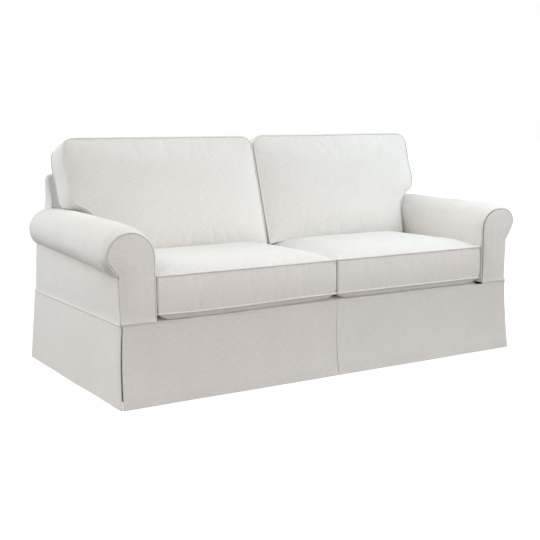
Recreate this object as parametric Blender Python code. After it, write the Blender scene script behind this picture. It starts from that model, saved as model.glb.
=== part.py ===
"""Fitted, skirted slipcover for a two-cushion sofa with rolled arms.

The cloth hangs as it does on the sofa, and the sofa itself is left out: the
body of the cover is hollow and open underneath. Two box cushions lie on its
deck, and two T-shaped box cushions stand on those and lean on its inside back.

Metres, +Z up. The front faces -Y, left is -X. The origin is on the floor, at
the middle of the cover's footprint. "Depth" is measured from the flat front
of the arms towards the rear.
"""

import math
from collections import namedtuple

import bmesh
import bpy
import numpy as np

# ---------------------------------------------------------------- cloth
CLOTH = 0.003             # thickness of a cloth panel
GAP = 0.0003              # space kept between neighbouring pieces
WELT_RADIUS = 0.003       # covered cord sewn into an edge
WELT_SIDES = 6
SETBACK = 0.0063          # one welt and its gap

# ---------------------------------------------------------------- body
HALF_WIDTH = 0.930        # outside arm panels
SEAM_DEPTH = 0.954        # front of the arms to the rear panel, at the skirt seam
SEAM_HEIGHT = 0.3066      # piping at the top of the skirt
FRONT_FLARE = 0.011       # how far the skirt's front and sides stand out at the hem
REAR_FLARE = 0.055        # how far the skirt's rear kicks back at the hem
REAR_LEAN = 0.16          # forward lean of the rear panel for each metre of height
FRONT_Y = FRONT_FLARE - (FRONT_FLARE + SEAM_DEPTH + REAR_FLARE) / 2
PIPING_PROUD = 0.0005     # the piping's centre lies this far inside the cloth's face
PIPING_CORNER = 0.004     # its turn at a corner of the body

# ---------------------------------------------------------------- arms
ROLL_X = 0.884            # middle of the arm's roll
FACING_TRIM = 0.0015      # facing's outer edge, inside the outside arm panel's face
FACING_PUFF = 0.003
NECK_BLEND = 0.012        # height in which the facing's edge moves in under the welt
NECK_TRIM = 0.85          # share of the roll's underside that the facing's welt follows
FACING_LOW_ROWS = (0.37, 0.43)    # heights of the facing's rows below its neck
FACING_ROWS = (0.09, 0.20, 0.33, 0.46, 0.60, 0.72, 0.82, 0.91, 0.957, 0.995)   # neck to top
ARC_STEPS = 12
ArmSection = namedtuple("ArmSection", "depth centre_z radius crease_z belly_z belly_in lean")
ARM_SECTIONS = (
    ArmSection(0.000, 0.5400, 0.0945, 0.4770, 0.5200, 0.012, 0.006),
    ArmSection(0.037, 0.5490, 0.1010, 0.4750, 0.5040, 0.004, 0.006),
    ArmSection(0.117, 0.5560, 0.1010, 0.4830, 0.5060, 0.000, 0.005),
    ArmSection(0.287, 0.5660, 0.0980, 0.4940, 0.5180, 0.000, 0.003),
    ArmSection(0.617, 0.5807, 0.0910, 0.5060, 0.5320, 0.000, 0.000),
    ArmSection(0.777, 0.5850, 0.0850, 0.5120, 0.5380, 0.000, 0.000),
    ArmSection(0.930, 0.5820, 0.0745, 0.5160, 0.5400, 0.000, 0.000),
)
ARM_ROWS = (0.0, 0.02, 0.045, 0.12, 0.30, 0.48, 0.66, 0.84, 1.0)

# ---------------------------------------------------------------- deck and back
DECK_TOP = 0.3143
DECK_LIP_RADIUS = 0.0090
INSIDE_BACK_DEPTH = 0.684     # where the inside back meets the deck
INSIDE_BACK_RAKE = 0.30       # lean of the inside back for each metre of height
BACK_TOP = 0.805
BACK_HALF_WIDTH = 0.890
BACK_CORNER = 0.020
BAND_PUFF = 0.002

# ---------------------------------------------------------------- skirt
SKIRT_TOP = SEAM_HEIGHT - WELT_RADIUS - GAP
HEM_LIFT = 0.0006             # keeps the slanting hem's inner edge off the floor
SKIRT_LEVELS = (1.0, 0.8, 0.55, 0.3, 0.12, 0.0)
WAVE = 0.0022                 # soft unevenness of the hem
PANEL_TRIM = 0.0005           # front and rear panels end this far inside the corner
FRONT_SLIT = 0.007            # and a front panel this much further, at the hem
SIDE_SLIT = {"left": 0.019, "right": 0.005}   # side panel's front end, the same way
REAR_SLIT = 0.003             # both panels at a rear corner, the same way
MIDDLE_SLIT = 0.0010
MIDDLE_X = 0.004              # the middle pleat stands a little to the right
PLEAT_LEG = 0.100             # width of a pleat's backing on each side of its slit
PLEAT_CUT = 0.055             # how far a corner backing cuts its corner
PLEAT_PULL = 0.012            # how near its turn is drawn to the corner
PLEAT_LIFT = 0.008            # the backings end this far above the hem
PLEAT_SPREAD = 0.004          # and stand this far behind the panels there

# ---------------------------------------------------------------- seat cushions
SEAT_FRONT = 0.0060           # depth of the front boxing
SEAT_REAR = 0.6840
SEAT_INNER = {"left": 0.0025, "right": 0.0095}    # they meet a little to the right
SEAT_OUTER = {"left": -0.7725, "right": 0.7785}
SEAT_TOP = 0.4696             # top welt line
SEAT_BASE = 0.3338            # bottom welt line
SEAT_CORNER = 0.005
SEAT_ROWS = (0.030, 0.060, 0.105, 0.180, 0.280, 0.380, 0.450, 0.490)   # depths of its rows
SEAT_DOME = 0.041
SEAT_BELLY = 0.022
SEAT_PRESSED_DEPTH = 0.515    # behind this the back cushions press it flat
SEAT_PRESSED_Z = 0.4905

# ---------------------------------------------------------------- back cushions
BACK_CUSHION_Z = 0.4932       # its lower edge
BACK_CUSHION_DEPTH = 0.5215   # depth of its front welt at that edge
BACK_CUSHION_RAKE = 0.3065
BACK_CUSHION_THICK = 0.144
BACK_LEVEL_HEIGHT = 0.150     # height in which its squared base turns into the rake
BACK_DOME = 0.034
BACK_REAR_DOME = 0.068
ARM_CLEARANCE = 0.0045
CUSHION_RISE = {"left": -0.007, "right": 0.004}   # the two aren't filled alike
RISE_FROM, RISE_OVER = 0.80, 0.15
CushionRow = namedtuple("CushionRow", "height inner outer")
BACK_CUSHION_ROWS = (
    CushionRow(0.4932, 0.0220, 0.7560),
    CushionRow(0.5010, 0.0145, 0.7635),
    CushionRow(0.5500, 0.0080, 0.7700),
    CushionRow(0.6000, 0.0035, 0.7760),
    CushionRow(0.6350, 0.0032, 0.7860),
    CushionRow(0.6620, 0.0032, 0.8030),
    CushionRow(0.6810, 0.0032, 0.8280),
    CushionRow(0.6940, 0.0032, 0.8540),
    CushionRow(0.7120, 0.0032, 0.8720),
    CushionRow(0.7440, 0.0032, 0.8820),
    CushionRow(0.8000, 0.0032, 0.8860),
    CushionRow(0.8600, 0.0032, 0.8910),
    CushionRow(0.9000, 0.0036, 0.8910),
    CushionRow(0.9300, 0.0080, 0.8840),
    CushionRow(0.9510, 0.0230, 0.8650),
    CushionRow(0.9625, 0.0540, 0.8320),
)
WELT_SEAT = 0.0066            # flat cut on a cushion's edge, where the welt lies
WELT_INSET = 0.0006           # the welt's centre, in from the uncut edge

CLOTH_COLOUR = (0.80, 0.79, 0.76, 1.0)
CUSHION_COLOUR = (0.83, 0.82, 0.79, 1.0)
WELT_COLOUR = (0.76, 0.75, 0.72, 1.0)


# ---------------------------------------------------------------- making objects
def clear_scene():
    for old in list(bpy.data.objects):
        bpy.data.objects.remove(old, do_unlink=True)


def cloth_material(name, colour):
    material = bpy.data.materials.new(name)
    material.use_nodes = True
    surface = material.node_tree.nodes["Principled BSDF"]
    surface.inputs["Base Color"].default_value = colour
    surface.inputs["Roughness"].default_value = 0.9
    surface.inputs["Metallic"].default_value = 0.0
    return material


def add_object(name, points, faces, colour):
    """One closed mesh, its faces turned outwards, in a material of its own."""
    mesh = bpy.data.meshes.new(name)
    mesh.from_pydata([tuple(point) for point in points], [], faces)
    solid = bmesh.new()
    solid.from_mesh(mesh)
    bmesh.ops.recalc_face_normals(solid, faces=solid.faces)
    bmesh.ops.triangulate(solid, faces=solid.faces)
    solid.to_mesh(mesh)
    solid.free()
    mesh.materials.append(cloth_material(name, colour))
    piece = bpy.data.objects.new(name, mesh)
    bpy.context.collection.objects.link(piece)
    return piece


def grid_faces(rows, columns, start=0):
    """Quads of a grid whose points are stored row by row."""
    faces = []
    for row in range(rows - 1):
        for column in range(columns - 1):
            corner = start + row * columns + column
            faces.append((corner, corner + 1, corner + columns + 1, corner + columns))
    return faces


def rim_indices(rows, columns):
    """The grid's border, once around: first row, last column, last row, first column."""
    rim = [column for column in range(columns)]
    rim += [row * columns + columns - 1 for row in range(1, rows)]
    rim += [(rows - 1) * columns + column for column in range(columns - 2, -1, -1)]
    rim += [row * columns for row in range(rows - 2, 0, -1)]
    return rim


def bridge(first, second):
    """Quads between two closed loops of the same length."""
    count = len(first)
    return [(first[i], first[(i + 1) % count], second[(i + 1) % count], second[i])
            for i in range(count)]


def sheet(name, face, inward, colour=CLOTH_COLOUR):
    """A panel of cloth: a grid of points on its face, and its thickness behind them.

    face has the shape rows x columns x 3, and inward is a direction that
    points roughly to the hidden side.
    """
    face = np.asarray(face, dtype=float)
    rows, columns = face.shape[:2]
    down = np.gradient(face, axis=0)
    along = np.gradient(face, axis=1)
    normal = np.cross(down, along)
    normal /= np.linalg.norm(normal, axis=2, keepdims=True)
    middle = normal[rows // 2, columns // 2]
    if callable(inward):
        turned = inward(face[rows // 2, columns // 2])
    else:
        turned = np.asarray(inward, dtype=float)
    if np.dot(middle, turned) < 0:
        normal = -normal
    back = face + CLOTH * normal
    count = rows * columns
    points = np.concatenate([face.reshape(-1, 3), back.reshape(-1, 3)])
    faces = grid_faces(rows, columns)
    faces += [tuple(reversed(quad)) for quad in grid_faces(rows, columns, count)]
    rim = rim_indices(rows, columns)
    faces += bridge(rim, [count + index for index in rim])
    return add_object(name, points, faces, colour)


def tube(name, path, across, closed, colour=WELT_COLOUR):
    """A covered cord along a path. across holds one direction for each point."""
    path = np.asarray(path, dtype=float)
    across = np.asarray(across, dtype=float)
    if closed:
        ahead = np.roll(path, -1, axis=0)
        behind = np.roll(path, 1, axis=0)
    else:
        ahead = np.vstack([path[1:], path[-1:]])
        behind = np.vstack([path[:1], path[:-1]])
    tangent = ahead - behind
    tangent /= np.linalg.norm(tangent, axis=1, keepdims=True)
    side = np.cross(tangent, across)
    side /= np.linalg.norm(side, axis=1, keepdims=True)
    lift = np.cross(side, tangent)
    points = []
    for centre, first, second in zip(path, side, lift):
        for step in range(WELT_SIDES):
            angle = 2 * math.pi * (step + 0.5) / WELT_SIDES
            offset = math.cos(angle) * first + math.sin(angle) * second
            points.append(centre + WELT_RADIUS * offset)
    rings = [list(range(i * WELT_SIDES, (i + 1) * WELT_SIDES)) for i in range(len(path))]
    faces = []
    for ring, following in zip(rings, rings[1:]):
        faces += bridge(ring, following)
    if closed:
        faces += bridge(rings[-1], rings[0])
    else:
        faces += [tuple(rings[0]), tuple(rings[-1])]
    return add_object(name, points, faces, colour)


def inset_path(path, distance, closed):
    """A flat path moved to its left by a distance, with mitred corners."""
    path = np.asarray(path, dtype=float)
    if closed:
        before = path - np.roll(path, 1, axis=0)
        after = np.roll(path, -1, axis=0) - path
    else:
        steps = np.diff(path, axis=0)
        before = np.vstack([steps[:1], steps])
        after = np.vstack([steps, steps[-1:]])
    before /= np.linalg.norm(before, axis=1, keepdims=True)
    after /= np.linalg.norm(after, axis=1, keepdims=True)
    normals = [np.column_stack([-part[:, 1], part[:, 0]]) for part in (before, after)]
    mitre = normals[0] + normals[1]
    scale = 2.0 / np.sum(mitre * mitre, axis=1, keepdims=True)
    return path + distance * mitre * scale


def smooth_step(value):
    value = min(max(value, 0.0), 1.0)
    return value * value * (3 - 2 * value)


def eased(count):
    """Fractions from 0 to 1, closer together at both ends."""
    even = np.linspace(0, 1, count)
    return 0.5 * even + 0.5 * (1 - np.cos(math.pi * even)) / 2


# ---------------------------------------------------------------- shape of the body
def rear_depth(height):
    """Depth of the outside back's face at a height."""
    return SEAM_DEPTH - REAR_LEAN * (height - SEAM_HEIGHT)


def inside_back_depth(height):
    return INSIDE_BACK_DEPTH + INSIDE_BACK_RAKE * (height - DECK_TOP)


def arm_section(depth):
    """The arm's cross-section at a depth, between the named ones."""
    depths = [section.depth for section in ARM_SECTIONS]
    values = [np.interp(depth, depths, [section[i] for section in ARM_SECTIONS])
              for i in range(1, len(ArmSection._fields))]
    return ArmSection(depth, *values)


def arm_top(depth):
    section = arm_section(depth)
    return section.centre_z + section.radius


def panel_depth(share, height):
    """Depth of an arm panel's point: 0 at the facing's welt, 1 at the outside back."""
    rear = rear_depth(height) - CLOTH - 2 * GAP
    return SETBACK + share * (rear - SETBACK)


def arm_inner_x(depth):
    """Where the inside arm's face stands at a depth, at the level of the deck."""
    depths = [panel_depth(share, DECK_TOP) for share in ARM_ROWS]
    inner = [ROLL_X - arm_section(share * ARM_SECTIONS[-1].depth).radius for share in ARM_ROWS]
    return float(np.interp(depth, depths, inner))


def roll_points(section, last_share=1.0):
    """(x, z) from the arm's inner foot, up and over its roll, to the crease."""
    inner = ROLL_X - section.radius
    foot = DECK_TOP - CLOTH
    points = [(inner, foot + share * (section.centre_z - foot)) for share in (0, 0.4, 0.75)]
    for step in range(ARC_STEPS + 1):
        angle = math.pi * (1 - step / ARC_STEPS)
        points.append((ROLL_X + section.radius * math.cos(angle),
                       section.centre_z + section.radius * math.sin(angle)))
    outermost = np.array([ROLL_X + section.radius, section.centre_z])
    belly = np.array([ROLL_X + section.radius - section.belly_in, section.belly_z])
    crease = np.array([HALF_WIDTH + section.lean + GAP, section.crease_z])
    for share in (0.3, 0.55, 0.8, 1.0):
        t = share * last_share
        point = (1 - t) ** 2 * outermost + 2 * t * (1 - t) * belly + t * t * crease
        points.append(tuple(point))
    return points


# ---------------------------------------------------------------- arms
def make_roll_panel(name, side):
    """Inside arm and roll in one piece of cloth."""
    rear_end = ARM_SECTIONS[-1].depth
    grid = []
    for share in ARM_ROWS:
        row = []
        for x, z in roll_points(arm_section(share * rear_end)):
            row.append((side * x, FRONT_Y + panel_depth(share, z), z))
        grid.append(row)
    sheet(name, grid, lambda point: (side * ROLL_X - point[0], 0, arm_section(0.4).centre_z - point[2]))


def make_outside_arm(name, side):
    foot = SEAM_HEIGHT + WELT_RADIUS + GAP
    grid = []
    for level in (0.0, 0.35, 0.7, 1.0):
        row = []
        for share in ARM_ROWS:
            section = arm_section(share * ARM_SECTIONS[-1].depth)
            top = section.crease_z - 2 * GAP
            z = foot + level * (top - foot)
            bow = 0.002 * math.sin(math.pi * level) * math.sin(math.pi * share)
            first = CLOTH - 0.001 + GAP
            depth = first + share * (rear_depth(z) - CLOTH - GAP - first)
            x = HALF_WIDTH + level * section.lean + bow
            row.append((side * x, FRONT_Y + depth, z))
        grid.append(row)
    sheet(name, grid, (-side, 0, 0))


def make_facing(name, side):
    """The flat front of the arm, inside its welt."""
    outline = np.array(roll_points(ARM_SECTIONS[0]))
    inner = inset_path(outline, -SETBACK, closed=False)
    peak = int(np.argmax(inner[:, 1]))
    rising, falling = inner[:peak + 1], inner[peak:][::-1]
    neck = ARM_SECTIONS[0].crease_z
    foot = SEAM_HEIGHT + WELT_RADIUS + GAP
    heights = [foot, *FACING_LOW_ROWS, neck - NECK_BLEND, neck - NECK_BLEND / 2, neck]
    heights += [neck + share * (inner[peak, 1] - neck) for share in FACING_ROWS]
    grid = []
    for z in heights:
        left = np.interp(z, rising[:, 1], rising[:, 0])
        under_welt = np.interp(z, falling[:, 1], falling[:, 0])
        level = min((z - foot) / (neck - foot), 1)
        at_corner = HALF_WIDTH - FACING_TRIM + level * ARM_SECTIONS[0].lean
        blend = smooth_step((z - neck + NECK_BLEND) / NECK_BLEND)
        right = at_corner + blend * (under_welt - at_corner)
        row = []
        for share in np.linspace(0, 1, 6):
            x = left + share * (right - left)
            rise = math.sin(math.pi * (z - foot) / (heights[-1] - foot))
            puff = FACING_PUFF * math.sin(math.pi * share) * rise
            row.append((side * x, FRONT_Y - 0.001 - puff, z))
        grid.append(row)
    sheet(name, grid, (0, 1, 0))


def make_arm_welt(name, side):
    """Cord from the neck, over the roll and down the inner edge of the facing."""
    outline = roll_points(ARM_SECTIONS[0], NECK_TRIM)
    centre = inset_path(outline, -WELT_RADIUS, closed=False)
    path = [(side * x, FRONT_Y + WELT_RADIUS, z) for x, z in centre]
    tube(name, path, [(0, 1, 0)] * len(path), closed=False)


# ---------------------------------------------------------------- deck and back
def make_deck():
    lip = [(0.0, SEAM_HEIGHT - WELT_RADIUS)]
    for angle in (0, 30, 60, 90):
        turn = math.radians(angle)
        lip.append((DECK_LIP_RADIUS * (1 - math.cos(turn)),
                    DECK_TOP - DECK_LIP_RADIUS * (1 - math.sin(turn))))
    rear = inside_back_depth(DECK_TOP - CLOTH) - GAP
    beside_arm = [panel_depth(share, DECK_TOP) for share in ARM_ROWS[1:]]
    flat = [(depth, DECK_TOP) for depth in beside_arm if depth < rear]
    grid = []
    for depth, z in lip + flat + [(rear, DECK_TOP)]:
        half = arm_inner_x(depth) - GAP
        grid.append([(share * half, FRONT_Y + depth, z) for share in np.linspace(-1, 1, 5)])
    sheet("deck_panel", grid, (0, 0.1, -1))


def corner_heights(inset=0.0):
    """Heights in the back's rounded top corner."""
    radius = BACK_CORNER - inset
    centre = BACK_TOP - BACK_CORNER
    return [centre + radius * math.sin(math.radians(angle)) for angle in (0, 30, 60, 90)]


def back_half_width(height, inset=0.0):
    """Half-width of the back's outline above the arms, with rounded corners."""
    radius = BACK_CORNER - inset
    rise = height - (BACK_TOP - BACK_CORNER)
    straight = BACK_HALF_WIDTH - BACK_CORNER
    if rise <= 0:
        return BACK_HALF_WIDTH - inset
    return straight + math.sqrt(max(radius * radius - rise * rise, 0.0))


def make_inside_back():
    inset = CLOTH + 3 * GAP
    foot = DECK_TOP - CLOTH
    section = arm_section(inside_back_depth(0.62))
    rows = [(z, arm_inner_x(inside_back_depth(z)) - 2 * GAP) for z in (foot, 0.38, 0.45, 0.52)]
    for angle in (0, 20, 40, 55, 70, 80, 90):
        turn = math.radians(angle)
        radius = section.radius + 3 * GAP
        rows.append((section.centre_z + radius * math.sin(turn), ROLL_X - radius * math.cos(turn)))
    above = rows[-1][0] + 0.004
    rows += [(z, back_half_width(z, inset)) for z in (above, 0.72)]
    rows += [(z, back_half_width(z, inset)) for z in corner_heights(inset)]
    grid = []
    for z, half in rows:
        y = FRONT_Y + inside_back_depth(z)
        grid.append([(share * half, y, z) for share in np.linspace(-1, 1, 7)])
    sheet("inside_back_panel", grid, (0, 1, 0))


def make_outside_back():
    last = ARM_SECTIONS[-1]
    foot = SEAM_HEIGHT + WELT_RADIUS + 3 * GAP
    rows = [(z, HALF_WIDTH) for z in (foot, 0.40, last.crease_z - 0.004)]
    outer = np.array(roll_points(last))[3 + ARC_STEPS // 2:][::-1]
    rows += [(z, max(x, BACK_HALF_WIDTH)) for x, z in outer if x > ROLL_X]
    rows += [(arm_top(last.depth) + 0.004, BACK_HALF_WIDTH), (0.71, BACK_HALF_WIDTH)]
    rows += [(z, back_half_width(z)) for z in corner_heights()]
    grid = []
    for z, half in rows:
        y = FRONT_Y + rear_depth(z)
        grid.append([(share * half, y, z) for share in np.linspace(-1, 1, 9)])
    sheet("outside_back_panel", grid, (0, -1, 0))


def make_back_band():
    """The strip that joins the inside and the outside back over its top and ends."""
    start = arm_top(inside_back_depth(0.67)) + 2 * GAP
    flank = [(BACK_HALF_WIDTH, z) for z in (start, 0.71)]
    flank += [(back_half_width(z), z) for z in corner_heights()]
    top = [(share * BACK_HALF_WIDTH, BACK_TOP) for share in (0.62, 0.3, 0.0)]
    right = flank + top
    path = right + [(-x, z) for x, z in right[-2::-1]]
    grid = []
    for x, z in path:
        front = inside_back_depth(z)
        rear = rear_depth(z) - CLOTH - GAP
        row = []
        for share, puff in ((0.0, 0.0), (0.5, BAND_PUFF), (1.0, 0.0)):
            at_top = smooth_step((z - BACK_TOP + BACK_CORNER) / BACK_CORNER)
            out = puff * (1 - at_top) * math.copysign(1, x)
            depth = front + share * (rear - front)
            row.append((x + out, FRONT_Y + depth, z + puff * at_top))
        grid.append(row)
    sheet("back_band", grid, (0, 0, -1))


# ---------------------------------------------------------------- skirt
def skirt_plane(level):
    """Half-width, front y and rear y of the skirt's outer face at a level (1 top, 0 hem)."""
    out = FRONT_FLARE * (1 - level)
    return HALF_WIDTH + out, FRONT_Y - out, FRONT_Y + SEAM_DEPTH + REAR_FLARE * (1 - level)


def wave(position, level, phase):
    """Soft unevenness, nothing at the seam and most at the hem."""
    swell = math.sin(7.1 * position + phase) + 0.5 * math.sin(15.7 * position + 2 * phase)
    return WAVE * (1 - level) * swell / 1.5


def skirt_z(level, foot=HEM_LIFT):
    return foot + (SKIRT_TOP - foot) * level


def make_skirt_front(name, side):
    grid = []
    for level in SKIRT_LEVELS:
        half, front, _ = skirt_plane(level)
        outer = half - PANEL_TRIM - FRONT_SLIT * (1 - level)
        inner = MIDDLE_X + side * MIDDLE_SLIT * (1.5 - level)
        row = []
        for share in np.linspace(0, 1, 13):
            x = inner + share * (side * outer - inner)
            ripple = wave(x, level, 0.8 + side) * math.sin(math.pi * share)
            row.append((x, front + ripple, skirt_z(level)))
        grid.append(row)
    sheet(name, grid, (0, 1, 0))


def make_skirt_side(hand, side):
    grid = []
    for level in SKIRT_LEVELS:
        half, front, rear = skirt_plane(level)
        first = front + CLOTH + 2 * GAP + (SIDE_SLIT[hand] - CLOTH) * (1 - level)
        last = rear - CLOTH - 2 * GAP - REAR_SLIT * (1 - level)
        row = []
        for share in np.linspace(0, 1, 9):
            y = first + share * (last - first)
            ripple = wave(y, level, 2.1 + side) * math.sin(math.pi * share)
            row.append((side * (half + ripple), y, skirt_z(level)))
        grid.append(row)
    sheet("skirt_side_" + hand, grid, (-side, 0, 0))


def make_skirt_rear():
    grid = []
    for level in SKIRT_LEVELS:
        half, _, rear = skirt_plane(level)
        outer = half - PANEL_TRIM - REAR_SLIT * (1 - level)
        row = []
        for share in np.linspace(-1, 1, 21):
            ripple = wave(share * outer, level, 4.0) * math.cos(math.pi * share / 2)
            row.append((share * outer, rear + ripple, skirt_z(level)))
        grid.append(row)
    sheet("skirt_rear", grid, (0, -1, 0))


def behind_panel(level):
    """Distance of a pleat's backing behind the panels' outer face."""
    return CLOTH + 2 * GAP + (PLEAT_SPREAD + WAVE) * (1 - level)


def make_corner_pleat(name, side, at_front):
    """Backing of a corner slit: two legs behind the panels and a slack turn between."""
    grid = []
    for level in SKIRT_LEVELS:
        half, front, rear = skirt_plane(level)
        back_off = behind_panel(level)
        corner_x = half - back_off
        if at_front:
            corner_y, inward = front + back_off, 1
        else:
            corner_y, inward = rear - back_off, -1
        leg, cut = PLEAT_LEG, PLEAT_CUT
        route = [(leg, 0), (cut, 0)]
        for share in (0.2, 0.4, 0.6, 0.8):
            pulled = 2 * share * (1 - share) * PLEAT_PULL
            route.append((cut * (1 - share) ** 2 + pulled, cut * share ** 2 + pulled))
        route += [(0, cut), (0, leg)]
        z = skirt_z(level, PLEAT_LIFT)
        grid.append([(side * (corner_x - a), corner_y + inward * b, z) for a, b in route])
    sheet(name, grid, (-side, 1 if at_front else -1, 0))


def make_middle_pleat():
    grid = []
    for level in SKIRT_LEVELS:
        _, front, _ = skirt_plane(level)
        z = skirt_z(level, PLEAT_LIFT)
        y = front + behind_panel(level)
        grid.append([(MIDDLE_X + share * PLEAT_LEG, y, z) for share in np.linspace(-1, 1, 5)])
    sheet("pleat_middle", grid, (0, 1, 0))


def make_skirt_piping():
    """Cord in the skirt seam, from one facing's inner edge round the rear to the other."""
    half = HALF_WIDTH - PIPING_PROUD
    front = FRONT_Y + PIPING_PROUD
    rear = FRONT_Y + SEAM_DEPTH - PIPING_PROUD
    inner = arm_inner_x(0) + GAP
    radius = PIPING_CORNER
    right = [(inner, front), (ROLL_X, front)]
    for angle in (0, 45, 90):
        turn = math.radians(angle)
        right.append((half - radius + radius * math.sin(turn), front + radius - radius * math.cos(turn)))
    right += [(half, FRONT_Y + share * SEAM_DEPTH) for share in (0.25, 0.5, 0.75)]
    for angle in (0, 45, 90):
        turn = math.radians(angle)
        right.append((half - radius + radius * math.cos(turn), rear - radius + radius * math.sin(turn)))
    right += [(share * half, rear) for share in (0.6, 0.3)]
    plan = right + [(0.0, rear)] + [(-x, y) for x, y in reversed(right)]
    path = [(x, y, SEAM_HEIGHT) for x, y in plan]
    tube("skirt_piping", path, [(0, 0, 1)] * len(path), closed=False)


# ---------------------------------------------------------------- cushions
def dome(a, b, flatness_a, flatness_b):
    """Crown of a filled face: 1 in the middle, 0 on its rim (a and b run -1 to 1)."""
    return (1 - abs(a) ** flatness_a) * (1 - abs(b) ** flatness_b)


def make_cushion(name, welts, left, right, columns, upper, lower, upper_dome, lower_dome, press):
    """A filled box cushion and its two welts.

    left and right are its flat outline's edges, a point for each row; upper and
    lower place a point of the outline on its two welt lines; the domes give the
    crown at (a, b), and press moves a point clear of what the cushion leans on.
    """
    left, right = np.asarray(left, float), np.asarray(right, float)
    rows = len(left)
    shares = eased(columns)
    first_row = [left[0] + share * (right[0] - left[0]) for share in shares]
    last_row = [left[-1] + share * (right[-1] - left[-1]) for share in shares]
    outline = first_row + list(right[1:]) + last_row[-2::-1] + list(left[-2:0:-1])
    outline = np.array(outline)
    turn = np.sum(outline[:, 0] * np.roll(outline[:, 1], -1) - np.roll(outline[:, 0], -1) * outline[:, 1])
    inwards = 1.0 if turn > 0 else -1.0

    def direction(flat):
        span = np.subtract(lower(flat), upper(flat))
        return span / np.linalg.norm(span)

    rim = inset_path(outline, inwards * WELT_SEAT, closed=True)
    rim_right = np.vstack([rim[columns - 1:columns - 1 + rows]])
    rim_left = np.vstack([rim[0:1], rim[-1:-rows:-1]])
    along = [np.linalg.norm(rim_left[i] - rim_left[0]) for i in range(rows)]
    count = rows * columns
    border = rim_indices(rows, columns)
    loop = len(outline)
    points = []
    pushes = []
    for place, domed, sign in ((upper, upper_dome, -1), (lower, lower_dome, 1)):
        push = [press(place(flat)) - place(flat) for flat in outline]
        on_rim = dict(zip(border, push))
        pushes.append(push)
        for row in range(rows):
            b = 2 * along[row] / along[-1] - 1
            for column, share in enumerate(shares):
                flat = rim_left[row] + share * (rim_right[row] - rim_left[row])
                lift = domed(2 * share - 1, b)
                point = place(flat) + sign * lift * direction(flat)
                index = row * columns + column
                points.append(point + on_rim[index] if index in on_rim else press(point))
    for place, sign, push in zip((upper, lower), (1, -1), pushes):
        for flat, move in zip(outline, push):
            points.append(place(flat) + sign * WELT_SEAT * direction(flat) + move)
    upper_box = list(range(2 * count, 2 * count + loop))
    lower_box = list(range(2 * count + loop, 2 * count + 2 * loop))
    faces = grid_faces(rows, columns)
    faces += [tuple(reversed(quad)) for quad in grid_faces(rows, columns, count)]
    faces += bridge(border, upper_box)
    faces += bridge(upper_box, lower_box)
    faces += bridge(lower_box, [count + index for index in border])
    add_object(name, points, faces, CUSHION_COLOUR)

    seat = inset_path(outline, inwards * WELT_INSET, closed=True)
    for welt, place, sign, push in zip(welts, (upper, lower), (1, -1), pushes):
        across = np.array([direction(flat) for flat in seat])
        path = [place(flat) + sign * WELT_INSET * aim + move
                for flat, aim, move in zip(seat, across, push)]
        tube(welt, path, across, closed=True)


def make_seat_cushion(hand, side):
    inner_rows, outer_rows = [], []
    depths = [SEAT_FRONT, SEAT_FRONT + SEAT_CORNER]
    depths += [*SEAT_ROWS, SEAT_PRESSED_DEPTH, 0.60, 0.655, SEAT_REAR - SEAT_CORNER, SEAT_REAR]
    for depth in depths:
        edge = min(depth - SEAT_FRONT, SEAT_REAR - depth, SEAT_CORNER)
        trim = SEAT_CORNER - edge
        inner_rows.append((SEAT_INNER[hand] + side * trim, depth))
        outer_rows.append((SEAT_OUTER[hand] - side * trim, depth))

    def upper(flat):
        return np.array([flat[0], FRONT_Y + flat[1], SEAT_TOP])

    def lower(flat):
        return np.array([flat[0], FRONT_Y + flat[1], SEAT_BASE])

    def upper_dome(a, b):
        uneven = 1 + 0.05 * math.sin(3 * a + side) * math.cos(2.5 * b)
        return SEAT_DOME * uneven * dome(a, b, 7, 10)

    def lower_dome(a, b):
        return SEAT_BELLY * dome(a, b, 8, 8)

    def press(point):
        depth = point[1] - FRONT_Y
        ceiling = SEAT_PRESSED_Z + max(0.0, SEAT_PRESSED_DEPTH - depth)
        point[2] = max(min(point[2], ceiling), DECK_TOP + GAP)
        return point

    make_cushion("seat_cushion_" + hand, ("seat_welt_upper_" + hand, "seat_welt_lower_" + hand),
                 inner_rows, outer_rows, 11, upper, lower, upper_dome, lower_dome, press)


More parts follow.
